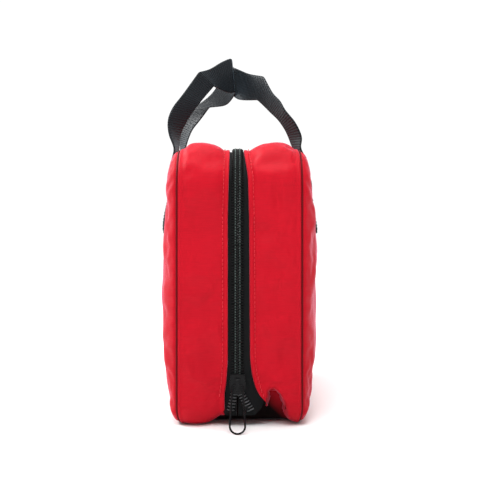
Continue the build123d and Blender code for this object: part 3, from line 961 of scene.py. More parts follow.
def make_pocket_binding(side, tree):
    """The tape that joins a net pocket's two sides and foot to the lining board."""
    low, high = mm_box(named(side, "net_pocket"))
    top = mm_box(named(side, "pocket_elastic"))[1].z
    net_y = low.y if side == FRONT else high.y
    path = line_stations((-high.x, top), (-high.x, low.z + 6), (-1, 0), 5.0)
    path = [(-high.x, top, -1, 0)] + path
    path += arc_stations((-high.x + 6, low.z + 6), 6.0, 180, 270, 2.0)
    path += line_stations((-high.x + 6, low.z), (high.x - 6, low.z), (0, -1), 5.0)
    path += arc_stations((high.x - 6, low.z + 6), 6.0, 270, 360, 2.0)
    path += line_stations((high.x, low.z + 6), (high.x, top), (1, 0), 5.0) + [(high.x, top, 1, 0)]
    rows = []
    for x, z, nx, nz in path:
        far = side * max(abs(board_y(tree, side, x * 0.985, z)), net_depth(side) + 1.6)
        row = []
        for c in evenly(0, 1, 5):
            out = 0.4 + 0.9 * math.sin(math.pi * c)
            row.append((x + nx * out, mix(net_y, far, c), z + nz * out))
        rows.append(row)
    piece = grid_object(named(side, "pocket_tape"), rows, dark_binding, flip=side == REAR)
    thicken(piece, 0.8)
    return piece


def make_tool_strap(tree):
    """The elastic band in the lid: sewn to the board at both ends, drawn over the tools between."""
    low, high = mm_box("tool_band")
    half = high.x

    def point(x, z):
        rise = smooth((half - abs(x)) / 26)
        y = mix(board_y(tree, FRONT, x, z) + 0.6, high.y - 0.4, rise)
        return x, y + 0.25 * math.sin(x * 1.4), z

    rows = grid_rows(evenly(-half, half, 70), evenly(low.z, high.z, 6), point)
    piece = grid_object("tool_strap", rows, elastic_cloth)
    thicken(piece, 0.9)
    return piece


def cloth_tree(piece):
    """A ray-cast tree of a cloth piece's mesh, without its thickness."""
    mesh = piece.data
    points = [vertex.co.copy() for vertex in mesh.vertices]
    return BVHTree.FromPolygons(points, [tuple(face.vertices) for face in mesh.polygons])


def surface_y(tree, side, x, z):
    """Y of a panel's outside at (x, z) in millimetres, found by a ray from well outside it."""
    start = Vector((x, side * 120, z)) * MM
    hit = tree.ray_cast(start, Vector((0, -side, 0)), 0.2)
    return hit[0].y / MM if hit[0] else side * FACE_Y


# ---------------------------------------------------------------- foot


def make_base():
    """The strip under the bag, lifted off the ground at its two ends."""
    half, width = END_X - 14.0, SEAM_Y + 1 - tuck(0)

    def point(x, y):
        turn = max(0.0, abs(x) - (END_X - FOOT_RADIUS))
        edge = FOOT_RADIUS - math.sqrt(max(FOOT_RADIUS ** 2 - turn ** 2, 0.0))
        z = 0.7 + edge + 0.12 * foot_lift(x, y, edge) + 0.2 * slow_wave(x + 3 * y, 1)
        return x - math.copysign(min(turn, 1.0) * 2.0, x), y, max(z, 0.55)

    rows = grid_rows(evenly(half, -half, 44), evenly(-width, width, 30), point)
    piece = grid_object("base_cloth", rows, inner_cloth)
    subdivide(piece)
    thicken(piece, 0.5, nylon, offset=1.0)
    return piece


def make_foot_wall(end):
    """The liner that stands inside one end, behind the zip's foot and the hollow fold, in cloth with painted
    shade.
    """
    def point(z, y):
        x = END_X - 18.2 + 0.6 * math.sin(y * 0.23) + 0.5 * math.sin(z * 0.3 + 1)
        droop = 2.0 * smooth((abs(y - 10) - 20) / 14) * (z - 2) / 34
        return end * x, y, z - droop

    rows = grid_rows(evenly(2.0, 36.0, 12), evenly(-22, 42, 24), point)
    name = "foot_wall_near" if end > 0 else "foot_wall_far"
    piece = grid_object(name, rows, painted_shade_foot_cloth, flip=end < 0)
    subdivide(piece)
    thicken(piece, 0.6)
    return piece


# ---------------------------------------------------------------- seams


def seam_line(side, depth, shift):
    """Points that follow the seam groove right round the panel."""
    path = []
    for x, z, nx, nz in outline_stations(3.0):
        y = seam_y(side, z) + side * shift
        path.append(Vector((x - nx * depth, y, max(z - nz * depth, 0.6))))
    return path


def make_seam_shade_cord(side):
    """A thin dark cord in the seam groove: painted shade that stands in for the groove's shadow."""
    return tubes_object(named(side, "seam_shade_cord"), [seam_line(side, 0.9, 0.25)], 0.8, dark_binding, sides=8)


STITCH_PITCH = 3.2
STITCH_REACH = 1.1  # half the length of a top stitch


def make_top_stitching(side):
    """A row of short stitches beside the zip edge."""
    stitches = []
    stations = outline_stations(1.0)
    s = 0.0
    for i in range(1, len(stations) - 1):
        x, z, nx, nz = stations[i]
        s += math.dist((x, z), stations[i - 1][:2])
        if z < 24 or s % STITCH_PITCH > 1.0:
            continue
        out, along = Vector((nx, 0, nz)), Vector((nz, 0, -nx)) * STITCH_REACH
        centre = Vector((x, zip_edge(side, x, z) + side * 4.0, z)) + out * 0.35
        stitches.append(stitch(centre - along, centre + along, out * 0.25))
    return tubes_object(named(side, "top_stitching"), stitches, 0.28, thread_red, sides=5)


# ---------------------------------------------------------------- zip


def zip_stations(spacing, inset, low_near, low_far):
    """The zip's line: up the near end, over the top and down the far end, as (x, z, nx, nz)."""
    half, top, radius = END_X - inset, TOP_Z - inset, TOP_RADIUS - inset
    right, up = END_X - TOP_RADIUS, TOP_Z - TOP_RADIUS
    path = [(half, low_near, 1, 0)] + line_stations((half, low_near), (half, up), (1, 0), spacing)
    path += arc_stations((right, up), radius, 0, 90, spacing)
    path += line_stations((right, top), (-right, top), (0, 1), spacing)
    path += arc_stations((-right, up), radius, 90, 180, spacing)
    path += line_stations((-half, up), (-half, low_far), (-1, 0), spacing) + [(-half, low_far, -1, 0)]
    return path


TAPE_ENDS = (8.0, 9.0)  # heights of the tapes' near and far ends
TAPE_REACH = 13.5  # from the zip's middle to a tape's outer edge
CHAIN_FAR_END = 21.0  # height of the chain's far end

# How far each tape reaches from the zip's middle near its foot: (z, reach)
TAPE_FOOT_FRONT = [(8, 9.2), (10, 10.4), (13, 11.5), (18, 13.5)]
TAPE_FOOT_REAR = [(8, 13.0), (10, 15.0), (14, 18.6), (19, 20.0), (27, 18.0), (36, 13.5)]


def make_tape(side):
    """One woven zip tape, wider where the opening flares at its foot."""
    rows = []
    for x, z, nx, nz in zip_stations(2.0, END_X - TAPE_X + 0.35, *TAPE_ENDS):
        flare = smooth((34 - z) / 20) * smooth((x - NEAR_X) / 20)
        reach = TAPE_REACH
        if x > NEAR_X:
            reach = look_up(TAPE_FOOT_FRONT if side == FRONT else TAPE_FOOT_REAR, z)
        row = []
        for c in evenly(0, 1, 8):
            dip = 0.35 * math.sin(math.pi * c) + flare * 1.6 * c
            row.append((x - nx * dip, ZIP_Y + side * mix(0.7, reach, c), z - nz * dip))
        rows.append(row)
    piece = grid_object(named(side, "zip_tape"), rows, tape_cloth, flip=side == REAR)
    thicken(piece, 0.7)
    return piece


TOOTH = [(3.9, -0.9, -0.25), (4.05, 0.0, -0.2), (3.3, 0.85, -0.1), (1.9, 1.05, 0.05), (0.5, 1.0, 0.2),
         (-0.55, 0.75, 0.3), (-0.95, 0.1, 0.32), (-0.6, -0.5, 0.3)]


def tooth_path(frame_at, side):
    """One loop of the coil. Each TOOTH point is (toward the tape, outward, along)."""
    origin, across, outward, along = frame_at
    return [origin + across * (side * a) + outward * o + along * t for a, o, t in TOOTH]


def chain_frames(shift):
    """Frames one pitch apart on the closed chain, from the slider up and over to the far end."""
    stations = zip_stations(0.5, 0.3, SLIDER_HIGH.z - 6, CHAIN_FAR_END)
    frames = []
    travelled, target = 0.0, shift
    for i in range(1, len(stations)):
        x, z, nx, nz = stations[i]
        px, pz = stations[i - 1][:2]
        travelled += math.dist((x, z), (px, pz))
        if travelled >= target:
            target += CHAIN_PITCH
            outward = Vector((nx, 0, nz))
            along = Vector((-nz, 0, nx))
            frames.append((Vector((x, ZIP_Y, z)), Vector((0, 1, 0)), outward, along))
    return frames


def tail_frames(side):
    """Frames down the open coil below the slider."""
    low, high = mm_box("zip_coil_" + HALF[side])
    foot_y = low.y + 1.2 if side == FRONT else high.y + 1.3
    top = Vector((COIL_X - 1.3, ZIP_Y + side * 2.6, SLIDER_LOW.z - 0.5))
    foot = Vector((COIL_X - 2.0, foot_y, 12.5))
    along = (top - foot).normalized()
    outward = Vector((1, 0, 0))
    across = along.cross(outward)
    across = across if across.y > 0 else -across
    count = int((top - foot).length / CHAIN_PITCH)
    return [(mix(top, foot, i / count), across, outward, along) for i in range(count + 1)]


def make_teeth(side):
    """The closed part of one coil: a loop for every tooth above the slider."""
    shift = 0.0 if side == FRONT else CHAIN_PITCH / 2
    paths = [tooth_path(at, side) for at in chain_frames(shift)]
    return tubes_object(named(side, "coil"), paths, 0.5, coil_nylon, sides=6)


def make_open_teeth(side):
    """The open part of one coil, below the slider, its black teeth painted grey as their highlights."""
    paths = []
    for origin, across, outward, along in tail_frames(side):
        paths.append(tooth_path((origin - across * (side * 1.4), across, outward, along), side))
    return tubes_object(named(side, "open_coil"), paths, 0.42, open_coil_painted_highlight, sides=6)


def make_coil_threads(side):
    """The line of black thread sewn through each half of the coil, painted grey-green as its highlights."""
    stitches = []
    shift = CHAIN_PITCH / 2 if side == FRONT else 0.0
    for origin, across, outward, along in chain_frames(shift):
        base = origin + across * (side * 1.75) + outward * 0.95
        stitches.append(stitch(base - along * 0.5, base + along * 0.5, outward * 0.55))
    return tubes_object(named(side, "coil_thread"), stitches, 0.4, black_thread_painted_highlight, sides=5)


# ---------------------------------------------------------------- handles

# Each key is the strap's outer edge and inner edge, as (x, y, z).
FRONT_NEAR = [
    ((67.0, -54.6, 219.0), (43.0, -53.0, 220.0)),
    ((66.4, -59.0, 231.0), (43.5, -51.5, 233.0)),
    ((64.5, -60.0, 243.0), (44.5, -46.5, 244.0)),
    ((60.0, -56.5, 254.5), (43.0, -40.0, 254.5)),
    ((53.5, -49.5, 266.0), (40.0, -35.0, 262.0)),
    ((46.5, -42.5, 278.0), (34.0, -30.0, 270.0)),
    ((41.0, -35.6, 289.5), (26.5, -22.8, 280.5)),
    ((27.0, -26.5, 296.0), (19.5, -17.5, 278.8)),
    ((15.0, -15.5, 306.0), (11.0, -9.0, 277.8)),
    ((6.0, -7.4, 310.5), (6.0, -4.4, 279.5)),
]
FRONT_FAR = [
    ((-67.0, -57.0, 220.0), (-43.0, -54.0, 221.0)),
    ((-66.0, -60.0, 232.0), (-43.0, -54.5, 231.0)),
    ((-64.0, -61.0, 243.0), (-43.0, -52.0, 242.0)),
    ((-61.0, -60.5, 252.0), (-42.0, -47.0, 253.5)),
    ((-56.0, -57.0, 261.0), (-39.0, -40.5, 261.0)),
    ((-50.0, -51.0, 269.0), (-34.0, -34.0, 268.0)),
    ((-44.0, -45.0, 276.0), (-26.0, -28.6, 273.0)),
    ((-26.0, -27.0, 286.0), (-16.0, -14.5, 272.0)),
    ((-9.0, -15.5, 300.0), (-6.0, -7.6, 275.4)),
    ((6.0, -7.4, 310.5), (6.0, -4.4, 279.5)),
]
REAR_NEAR = [
    ((66.5, 51.4, 219.0), (42.5, 47.0, 222.0)),
    ((66.0, 52.0, 229.0), (43.0, 42.8, 232.0)),
    ((65.0, 46.8, 241.0), (43.5, 39.4, 239.0)),
    ((62.0, 38.6, 252.0), (41.0, 34.0, 247.5)),
    ((57.0, 34.4, 261.0), (37.5, 27.6, 254.5)),
    ((48.0, 28.2, 270.5), (33.5, 22.0, 261.0)),
    ((37.0, 21.3, 287.0), (30.0, 15.9, 267.3)),
    ((20.0, 9.0, 293.5), (19.0, 5.6, 269.5)),
    ((6.0, -0.5, 301.0), (5.0, -1.5, 273.5)),
    ((-6.0, -8.0, 307.0), (-6.0, -5.6, 279.0)),
]
REAR_FAR = [
    ((-66.5, 54.0, 221.0), (-42.5, 51.0, 222.0)),
    ((-66.0, 60.0, 237.0), (-42.0, 56.0, 237.0)),
    ((-64.0, 57.0, 251.0), (-40.0, 51.5, 249.0)),
    ((-60.0, 49.0, 264.0), (-37.0, 43.0, 262.0)),
    ((-54.0, 41.0, 275.0), (-33.0, 35.0, 272.0)),
    ((-45.0, 33.0, 284.0), (-28.0, 26.0, 278.0)),
    ((-32.0, 22.0, 292.0), (-20.0, 17.0, 279.5)),
    ((-20.0, 7.0, 298.0), (-16.0, 6.0, 277.5)),
    ((-12.0, -2.0, 303.0), (-11.0, -1.5, 278.5)),
    ((-6.0, -8.0, 307.0), (-6.0, -5.6, 279.0)),
]
CREASE = 6  # the key where each strap folds over into the grip


def spline(points, steps):
    """Smooth curve through points (Catmull-Rom), with steps points for each span."""
    ext = [points[0] * 2 - points[1]] + points + [points[-1] * 2 - points[-2]]
    out = []
    for i in range(1, len(ext) - 2):
        p0, p1, p2, p3 = ext[i - 1 : i + 3]
        for k in range(steps):
            t = k / steps
            out.append(0.5 * ((2 * p1) + (p2 - p0) * t + (2 * p0 - 5 * p1 + 4 * p2 - p3) * t ** 2
                              + (3 * p1 - p0 - 3 * p2 + p3) * t ** 3))
    out.append(points[-1])
    return out


def tab_keys(side, x_sign, tree):
    """Strap keys where it lies sewn flat on the panel, then leaves it near the top."""
    outer_x, inner_x = TAB_HIGH.x, TAB_HIGH.x - STRAP
    keys = []
    for z in (TAB_LOW.z, TAB_LOW.z + 8, TAB_LOW.z + 16, TAB_LOW.z + 24, TAB_HIGH.z, 190, 199):
        pair = []
        for x in (outer_x, inner_x):
            y = surface_y(tree, side, x_sign * x, z) + side * 1.0
            pair.append(Vector((x_sign * x, y, z)))
        keys.append(tuple(pair))
    keys.append((Vector((x_sign * outer_x, side * 56.6, 208)), Vector((x_sign * inner_x, side * 55.6, 209))))
    return keys


def strap_edges(keys, creases, steps=6):
    """Outer and inner edge curves through the keys, sharp at each crease."""
    outer, inner = [], []
    starts = [0] + creases
    ends = creases + [len(keys) - 1]
    for a, b in zip(starts, ends):
        part = keys[a : b + 1]
        if len(part) < 2:
            continue
        first, second = spline([k[0] for k in part], steps), spline([k[1] for k in part], steps)
        skip = 1 if outer else 0
        outer += first[skip:]
        inner += second[skip:]
    return outer, inner


def make_handle(side, near, far, tree):
    """One webbing loop from its near tab, over the grip, to its far tab."""
    near = [tuple(Vector(p) for p in key) for key in near]
    far = [tuple(Vector(p) for p in key) for key in far]
    tab_near, tab_far = tab_keys(side, 1, tree), tab_keys(side, -1, tree)
    keys = tab_near + near + far[-2::-1] + tab_far[::-1]
    apex = len(tab_near) + len(near) - 1
    crease_near = len(tab_near) + CREASE
    crease_far = 2 * apex - crease_near
    outer, inner = strap_edges(keys, [crease_near, crease_far])
    rows = []
    for p, q in zip(outer, inner):
        rows.append([tuple(point) for point in evenly(p, q, 12)])
    piece = grid_object(named(side, "carry_strap"), rows, black_webbing, flip=side == REAR)
    thicken(piece, 1.6, offset=0.0)
    subdivide(piece)
    return piece


def make_box_stitches(side, tree):
    """Box-and-cross stitching on both tabs of a handle."""
    margin = 3.0
    stitch_length = 2.6
    stitches = []
    half_w = STRAP / 2 - margin
    low, high = TAB_LOW.z + margin, TAB_HIGH.z - margin
    for x_sign in (1, -1):
        cx = x_sign * (TAB_HIGH.x - STRAP / 2)
        a, b, c, d = (cx - half_w, low), (cx + half_w, low), (cx + half_w, high), (cx - half_w, high)
        for start, end in ((a, b), (b, c), (c, d), (d, a), (a, c), (b, d)):
            count = int(math.dist(start, end) / stitch_length)
            for k in range(count):
                ends = []
                for t in ((k + 0.15) / count, (k + 0.85) / count):
                    x, z = mix(start[0], end[0], t), mix(start[1], end[1], t)
                    y = surface_y(tree, side, x, z) + side * 1.85
                    ends.append(Vector((x, y, z)))
                stitches.append(stitch(*ends, Vector((0, side * 0.25, 0))))
    # The black thread is painted grey-green as its highlights.
    return tubes_object(named(side, "tab_stitches"), stitches, 0.32, black_thread_painted_highlight, sides=5)


# ---------------------------------------------------------------- camera, light and ground


def make_floor():
    """A white floor that glows more and more toward its edges."""
    bpy.ops.mesh.primitive_plane_add(size=60)
    floor = bpy.context.object
    floor.name = "floor"
    n = Nodes("floor_white")
    n.ramp(n.noise(3, 2), (0.2, (0.93, 0.93, 0.93)), (0.8, (0.96, 0.96, 0.96)))
    n.set(Roughness=0.6, Specular_IOR_Level=0.15, Emission_Color=(1, 1, 1, 1))
    far = n.add("ShaderNodeVectorMath", operation="LENGTH")
    n.link(n.where, far.inputs[0])
    n.link(n.remap(far.outputs["Value"], 0.2, 0.8, 0.0, 0.45), n.shader.inputs["Emission Strength"])
    floor.data.materials.append(n.material)


CAMERA_TURN = 0.88  # degrees to the right of straight at the near end


def make_camera():
    """Looks at the near end from its own height."""
    data = bpy.data.cameras.new("camera")
    data.lens = 49.0
    data.clip_start = 0.01
    camera = bpy.data.objects.new("camera", data)
    camera.location = (0.636, 0.0, 0.134)
    camera.rotation_euler = (math.radians(90), 0, math.radians(90 - CAMERA_TURN))
    bpy.context.scene.collection.objects.link(camera)
    bpy.context.scene.camera = camera


def make_world():
    """Light from one side and from low down, with plain white where the camera sees the sky."""
    world = bpy.data.worlds.new("studio")
    world.use_nodes = True
    t = Tree(world.node_tree)
    background = t.tree.nodes["Background"]
    background.inputs["Color"].default_value = (1, 1, 1, 1)
    where = t.add("ShaderNodeTexCoord").outputs["Generated"]
    spread = t.remap(t.dot(where, (-0.62, -0.25, 0.35)), -0.55, 0.45, 0.05, 1.05)
    horizon = t.remap(t.split(where, 2), 0.1, 0.2, 1.05, 0.0)
    seen = t.add("ShaderNodeLightPath").outputs["Is Camera Ray"]
    strength = t.math("MAXIMUM", t.math("MAXIMUM", spread, horizon), seen)
    t.link(strength, background.inputs["Strength"])
    bpy.context.scene.world = world
    bpy.context.scene.view_settings.view_transform = "Standard"


# Square area lights: (name, place in metres, size in metres, watts)
LIGHTS = [
    ("key", (-0.45, -1.0, 1.0), 0.4, 18.0),
    ("top", (0.1, 0.1, 1.5), 0.9, 11.0),
    ("near_top", (0.36, 0.0, 0.62), 0.3, 2.2),
    ("fill", (1.6, 0.8, 0.6), 1.2, 0.3),
]


def make_lights():
    """Area lights that all point at the middle of the bag."""
    for name, place, size, power in LIGHTS:
        data = bpy.data.lights.new(name, "AREA")
        data.size = size
        data.energy = power
        light = bpy.data.objects.new(name, data)
        light.location = place
        aim = Vector((0, 0, 0.12)) - Vector(place)
        light.rotation_euler = aim.to_track_quat("-Z", "Y").to_euler()
        bpy.context.scene.collection.objects.link(light)


# ---------------------------------------------------------------- seam tapes, nets and elastics


def make_seam_tape(side):
    """The tape inside one half that covers the raw edges of the panel seam."""
    low, high = mm_box(named(side, "seam_binding"))
    near_y, far_y = (low.y, high.y) if side == FRONT else (high.y, low.y)
    rows = []
    for x, z, nx, nz in outline_stations(5.0):
        if z < low.z - 1:
            continue
        row = []
        for k in range(7):
            c = k / 6
            inset = 1.9 + 0.9 * math.sin(math.pi * c) + 0.15 * slow_wave(x + z, k)
            row.append((x - nx * inset, mix(near_y, far_y, c), z - nz * inset))
        rows.append(row)
    piece = grid_object(named(side, "seam_tape"), rows, dark_binding, flip=side == FRONT)
    thicken(piece, 0.7)
    return piece


def pocket_wave(x, share):
    """How an elastic edge gathers the cloth under it: a small ripple along X."""
    return share * (0.75 * math.sin(x * 0.31) + 0.35 * math.sin(x * 0.73 + 1.0))


def make_net(side, material):
    """A net pocket, gathered under its elastic and plain at its foot."""
    low, high = mm_box(named(side, "net_pocket"))

    def point(t, x):
        hold = smooth((high.x - abs(x)) / 12)
        sag = 0.5 * math.sin(math.pi * t) * hold
        y = (low.y + high.y) / 2 + pocket_wave(x, 0.8 * t * t * hold) - side * sag
        return x, y, mix(low.z + 0.3, high.z + 1.0, t)

    rows = grid_rows(evenly(0, 1, 26), evenly(low.x + 0.3, high.x - 0.3, 150), point)
    piece = grid_object(named(side, "net"), rows, material, flip=side == FRONT)
    thicken(piece, 0.3, offset=0.0)
    return piece


def make_pocket_elastic(side):
    """The gathered elastic along a pocket's top edge."""
    low, high = mm_box(named(side, "pocket_elastic"))

    def point(x, c):
        hold = smooth((high.x - abs(x)) / 12)
        gather = 0.22 * math.sin(x * 1.9 + 0.4 * math.sin(x * 0.5)) * math.sin(math.pi * c)
        y = (low.y + high.y) / 2 + pocket_wave(x, 0.8 * hold) + gather
        return x, y, mix(low.z, high.z, c)

    rows = grid_rows(evenly(low.x + 0.3, high.x - 0.3, 200), evenly(0, 1, 6), point)
    piece = grid_object(named(side, "elastic_edge"), rows, elastic_cloth, flip=side == REAR)
    thicken(piece, 1.3, offset=0.0)
    return piece


# ---------------------------------------------------------------- soft supplies


def pouch_grid(low, high, face, border, reach, corner, wrinkle, behind):
    """One face of a filled pouch in the XZ plane. face is -1 or 1, toward -Y or +Y.

    behind gives the Y of what the pouch lies against, or is None.
    """
    middle, half = middle_and_half(low, high)

    def point(v, u):
        m = max(abs(u), abs(v))
        round_off = (abs(u) ** corner + abs(v) ** corner) ** (1 / corner) if m else 1.0
        x, z = middle.x + u * m / round_off * half.x, middle.z + v * m / round_off * half.z
        depth = (1 - m) * min(half.x, half.z)
        filled = min(1.0, max(0.0, depth - border) / reach)
        swell = math.sqrt(1 - (1 - filled) ** 2.4)
        folds = math.sin(x * 0.42 + low.y) + math.sin(z * 0.37 + low.x)
        crease = wrinkle * (0.35 * folds * (1 - filled) + crumple((x, low.y, z), 0.055)) * filled
        out = 0.0 if m > 0.999 else 0.25 + (half.y - 0.25) * swell - abs(crease)
        y = middle.y + face * max(out, 0.0)
        if behind:
            y = min(y, behind(x, z) - (0.5 if face > 0 else 1.0))
        return x, y, z

    across, up = max(10, round(half.x / 1.6)), max(10, round(half.z / 1.6))
    return grid_rows(evenly(-1, 1, up), evenly(-1, 1, across), point)


def make_pouches(name, boxes, material, border, reach, corner=9.0, wrinkle=0.8, behind=None):
    """Closed filled pouches, one for each (low, high) box, as one object."""
    parts = []
    for low, high in boxes:
        for face in (-1, 1):
            rows = pouch_grid(low, high, face, border, reach, corner, wrinkle, behind)
            parts.append(grid_part(rows, flip=face > 0))
    piece = add_mesh(name, *join(parts), material)
    weld(piece)
    return piece


def weld(piece):
    """Joins the two faces of a closed form along their shared border."""
    def change(mesh):
        bmesh.ops.remove_doubles(mesh, verts=mesh.verts, dist=0.01 * MM)
        bmesh.ops.recalc_face_normals(mesh, faces=mesh.faces)

    edit_mesh(piece, change)


def row_of_boxes(node, count, gap):
    """Equal boxes that share a node's box, one behind the other along Y."""
    low, high = mm_box(node)
    pitch = (high.y - low.y + gap) / count
    boxes = []
    for i in range(count):
        y = low.y + i * pitch
        boxes.append((Vector((low.x, y, low.z)), Vector((high.x, y + pitch - gap, high.z))))
    return boxes


def wound_rows(centre, start, end, radius, core, pitch, upright):
    """A strip wound from its core out to a radius. The roll stands up, or lies along Y."""
    turns = (radius - core) / pitch
    steps = int(turns * 44)
    rows = []
    for i in range(steps + 1):
        angle = math.tau * turns * i / steps
        r = core + pitch * turns * i / steps
        uneven = 0.35 * math.sin(angle * 0.83) + 0.2 * math.sin(angle * 2.6)
        a, b = r * math.cos(angle), r * math.sin(angle)
        row = []
        for k in range(7):
            along = mix(start + 0.6 + uneven, end - 0.6 + uneven * 0.8, k / 6)
            if upright:
                row.append((centre[0] + a, centre[1] + b, along))
            else:
                row.append((centre[0] + a, along, centre[1] + b))
        rows.append(row)
    return rows


def make_rolls(name, node, count, material, pitch, core):
    """Wound bandage rolls that stand side by side."""
    low, high = mm_box(node)
    radius = (high.y - low.y) / 2
    spacing = (high.x - low.x - 2 * radius) / (count - 1)
    parts, uvs = [], []
    for i in range(count):
        centre = (low.x + radius + i * spacing, low.y + radius)
        rows = wound_rows(centre, low.z, high.z, radius - pitch * 0.45, core, pitch, upright=True)
        parts.append(grid_part(rows))
        uvs += strip_uvs(rows)
    piece = add_mesh(name, *join(parts), material, uvs)
    thicken(piece, pitch * 0.72, offset=0.0)
    return piece


def make_tape_winding(material):
    """Adhesive tape wound on its spool."""
    low, high = mm_box("tape_roll")
    spool_low, spool_high = mm_box("tape_spool")
    radius, pitch = (high.x - low.x) / 2, 0.95
    core = (spool_high.x - spool_low.x) / 2 + 0.8
    centre = ((low.x + high.x) / 2, (low.z + high.z) / 2)
    rows = wound_rows(centre, low.y, high.y, radius - 0.5, core, pitch, upright=False)
    piece = grid_object("tape_winding", rows, material)
    thicken(piece, pitch * 0.8, offset=0.0)
    return piece


def make_pouch_piping(name, node, corner, material):
    """Piping round the middle of a pouch."""
    middle, half = middle_and_half(*mm_box(node))
    path = []
    for i in range(97):
        angle = math.tau * i / 96
        c, s = math.cos(angle), math.sin(angle)
        size = (abs(c) ** corner + abs(s) ** corner) ** (-1 / corner)
        x = middle.x + c * size * (half.x - 1.0)
        path.append(Vector((x, middle.y, middle.z + s * size * (half.z - 1.0))))
    return tubes_object(name, [path], 0.9, material, sides=8)


def make_supplies(rear_tree):
    """Everything soft inside the bag, with its materials. rear_tree is the rear panel's ray-cast tree."""
    cotton = gauze("cotton", (0.80, 0.79, 0.75))
    crepe = gauze("crepe", (0.66, 0.47, 0.31), pitch=0.0019)
    sachet = crinkled("sachet", (0.70, 0.76, 0.78), rough=(0.35, 0.5), scale=30, depth=0.0008)
    cloth_tape = gauze("cloth_tape", (0.78, 0.74, 0.66), pitch=0.0009)
    cold_film = crinkled("cold_film", (0.06, 0.20, 0.50))
    foil = crinkled("foil", (0.72, 0.63, 0.40), metallic=0.9, scale=40, depth=0.0025)
    glove_film = crinkled("glove_film", (0.12, 0.30, 0.52), scale=30, depth=0.001)
    orange = woven("orange_pouch", (0.70, 0.16, 0.02), pitch=0.0008)
    wrap = crinkled("clear_wrap", (0.74, 0.75, 0.72), rough=(0.2, 0.35), scale=22, depth=0.001)

    rolls = make_rolls("gauze_windings", "gauze_rolls", 3, cotton, 1.3, 3.5)
    attach(rolls, "white_gauze", "gauze_rolls", fill=0.7)
    rolls = make_rolls("crepe_windings", "crepe_bandages", 2, crepe, 2.1, 5.0)
    attach(rolls, "crepe", "crepe_bandages", fill=0.8)
    attach(make_tape_winding(cloth_tape), "tape_white", "tape_roll")

    sachets = make_pouches("sachets", row_of_boxes("dressing_packs", 6, 0.4), sachet, 7.0, 5.0, 16.0, 0.5)
    attach(sachets, "paper_sachet", "dressing_packs", fill=0.4)
    folded = make_pouches("wrapped_triangles", row_of_boxes("triangular_bandages", 2, 0.4), wrap, 2.0, 6.0)
    attach(folded, "white_gauze", "triangular_bandages", fill=0.6)

    def rear_board_y(x, z):
        return board_y(rear_tree, REAR, x, z)

    # Name, CAD node, slot, material, flat border, reach of the swell, squareness, wrinkles and fill
    single = [
        ("pressure_pack", "pressure_dressing", "paper_sachet", sachet, 4.0, 9.0, 8.0, 1.6, 0.7),
        ("glove_bag", "gloves_pack", "glove_film", glove_film, 3.0, 15.0, 8.0, 2.2, 0.6),
        ("mask_pouch", "breathing_mask", "pouch_orange", orange, 0.0, 13.0, 6.0, 1.2, 0.8),
        ("cold_bag", "cold_pack", "cold_pack_film", cold_film, 5.0, 18.0, 12.0, 1.6, 0.8),
        ("folded_foil", "rescue_blanket", "blanket_film", foil, 2.0, 7.0, 10.0, 2.0, 0.6),
    ]
    for name, node, slot, material, border, reach, corner, wrinkle, fill in single:
        behind = rear_board_y if node in ("cold_pack", "rescue_blanket") else None
        pouch = make_pouches(name, [mm_box(node)], material, border, reach, corner, wrinkle, behind)
        attach(pouch, slot, node, fill=fill)
    piping = make_pouch_piping("mask_piping", "breathing_mask", 6.0, dark_binding)
    attach(piping, "pouch_orange")

    net = netting("net", (0.05, 0.05, 0.055))
    for side in (FRONT, REAR):
        cloth = make_net(side, net)
        attach(cloth, "net", named(side, "net_pocket"), side=side)
        low, high = mm_box(named(side, "net_pocket"))
        named(side, "pocket_tape")
        attach(make_pocket_elastic(side), "elastic", named(side, "pocket_elastic"), side=side)
        attach(make_seam_tape(side), "dark_binding", named(side, "seam_binding"), side=side)


# ---------------------------------------------------------------- hard parts


def dress(node, material, bevel=None):
    """Gives a carried-over CAD node its material, and a soft edge if one is asked for."""
    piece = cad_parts[node]
    piece.data.materials.clear()
    piece.data.materials.append(material)
    piece.data.polygons.foreach_set("use_smooth", [False] * len(piece.data.polygons))
    if bevel:
        add_modifier(piece, "BEVEL", width=bevel * MM, segments=2, limit_method="ANGLE",
                     angle_limit=math.radians(35))


def dress_all():
    """Materials of all carried-over CAD nodes."""
    white_card = carton("white_card", (0.72, 0.74, 0.75), (0.10, 0.34, 0.20), 0.186)
    blue_card = carton("blue_card", (0.05, 0.14, 0.38), (0.70, 0.73, 0.75), 0.052)
    bottle = moulded("bottle", (0.66, 0.74, 0.76), rough=(0.2, 0.3), coat=0.3)
    green = moulded("green_cap", (0.02, 0.25, 0.10), rough=(0.25, 0.35))
    white_plastic = moulded("spool_plastic", (0.62, 0.64, 0.66))
    red_plastic = moulded("red_bow", (0.45, 0.012, 0.02), rough=(0.18, 0.3), coat=0.4)
    paper = carton("booklet", (0.74, 0.74, 0.70), (0.50, 0.03, 0.05), 0.138)
    finishes = {
        "zip_bottom_stop": (black_lacquer, 0.2), "zip_end_stop_front": (black_lacquer, 0.3),
        "zip_end_stop_rear": (black_lacquer, 0.3), "zip_slider": (black_lacquer, 0.35),
        "zip_pull": (black_lacquer, None),
        "scissors_blade_fixed": (steel, 0.15), "scissors_blade_moving": (steel, 0.15),
        "scissors_bow_fixed": (red_plastic, 1.2), "scissors_bow_moving": (red_plastic, 1.2),
        "scissors_rivet": (steel, 0.15), "tweezers": (steel, 0.15), "bandage_clips": (steel, 0.15),
        "plaster_box": (blue_card, 0.3), "wipes_box": (white_card, 0.3),
        "tape_spool": (white_plastic, 0.4), "saline_bottle": (bottle, 0.3), "saline_cap": (green, 0.5),
        "guide_booklet": (paper, 0.3),
    }
    for node, (material, bevel) in finishes.items():
        dress(node, material, bevel)


# ---------------------------------------------------------------- put together


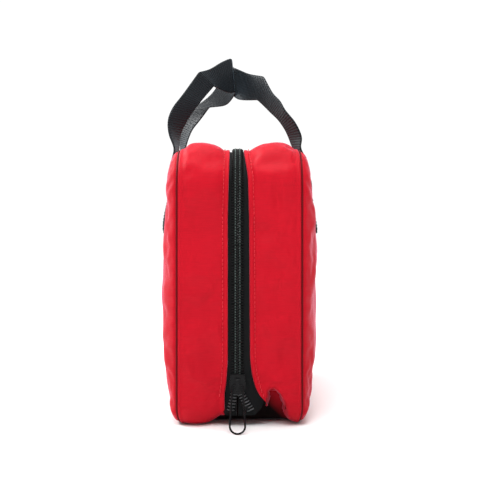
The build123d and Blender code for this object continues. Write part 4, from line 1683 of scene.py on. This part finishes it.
def make_shell():
    """Strips, panels, linings, pocket tapes, foot and base. Returns the ray-cast tree of each panel."""
    trees = {}
    for side in (REAR, FRONT):
        attach(make_gusset(side), "red_nylon", named(side, "gusset"), side=side, folds=True)
    for side, nodes in ((REAR, ["rear_panel"]), (FRONT, ["front_panel", "front_panel_fold"])):
        cloth = make_panel(side)
        trees[side] = cloth_tree(cloth)
        attach(cloth, "red_nylon", *nodes, side=side, folds=True, fill=0.8)
    for side in (FRONT, REAR):
        board = make_board(side, trees[side])
        attach(board, "lining", named(side, "lining"), side=side, fill=0.5)
    for side in (FRONT, REAR):
        pocket = make_pocket_binding(side, trees[side])
        attach(pocket, "dark_binding", named(side, "pocket_binding"), side=side)
    attach(make_tool_strap(trees[FRONT]), "elastic", "tool_band", side=FRONT)
    for end in (1, -1):
        attach(make_foot_wall(end), "lining")
    attach(make_base(), "red_nylon", "base_gusset")
    return trees


def make_zip(side):
    """One side of the zip with the dark cord of painted shade in its seam, and its stitching."""
    tails = ["zip_tail_near", "zip_tail_far"] if side == REAR else []
    half = HALF[side]
    attach(make_seam_shade_cord(side), "dark_binding", side=side, folds=True)
    attach(make_top_stitching(side), "stitch_thread", side=side, folds=True)
    attach(make_tape(side), "zip_tape", "zip_tape_" + half, *tails, side=side, folds=True)
    attach(make_teeth(side), "zip_coil", "zip_coil_" + half, side=side, folds=True)
    attach(make_coil_threads(side), "stitch_thread", side=side, folds=True)
    attach(make_open_teeth(side), "zip_coil", side=side, folds=True)


def make_carry(side, near, far, tree):
    """One carry loop and the stitching of its tabs."""
    shell, body = named(side, "shell"), named(side, "handle")
    strap = make_handle(side, near, far, tree)
    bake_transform(strap)
    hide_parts(body, body + "_tabs")
    attach(make_box_stitches(side, tree), "stitch_thread", body + "_stitching", side=side)


make_floor()
make_camera()
make_world()
make_lights()
panel_trees = make_shell()
for side in (FRONT, REAR):
    make_zip(side)
make_carry(FRONT, FRONT_NEAR, FRONT_FAR, panel_trees[FRONT])
make_carry(REAR, REAR_NEAR, REAR_FAR, panel_trees[REAR])
make_supplies(panel_trees[REAR])
dress_all()
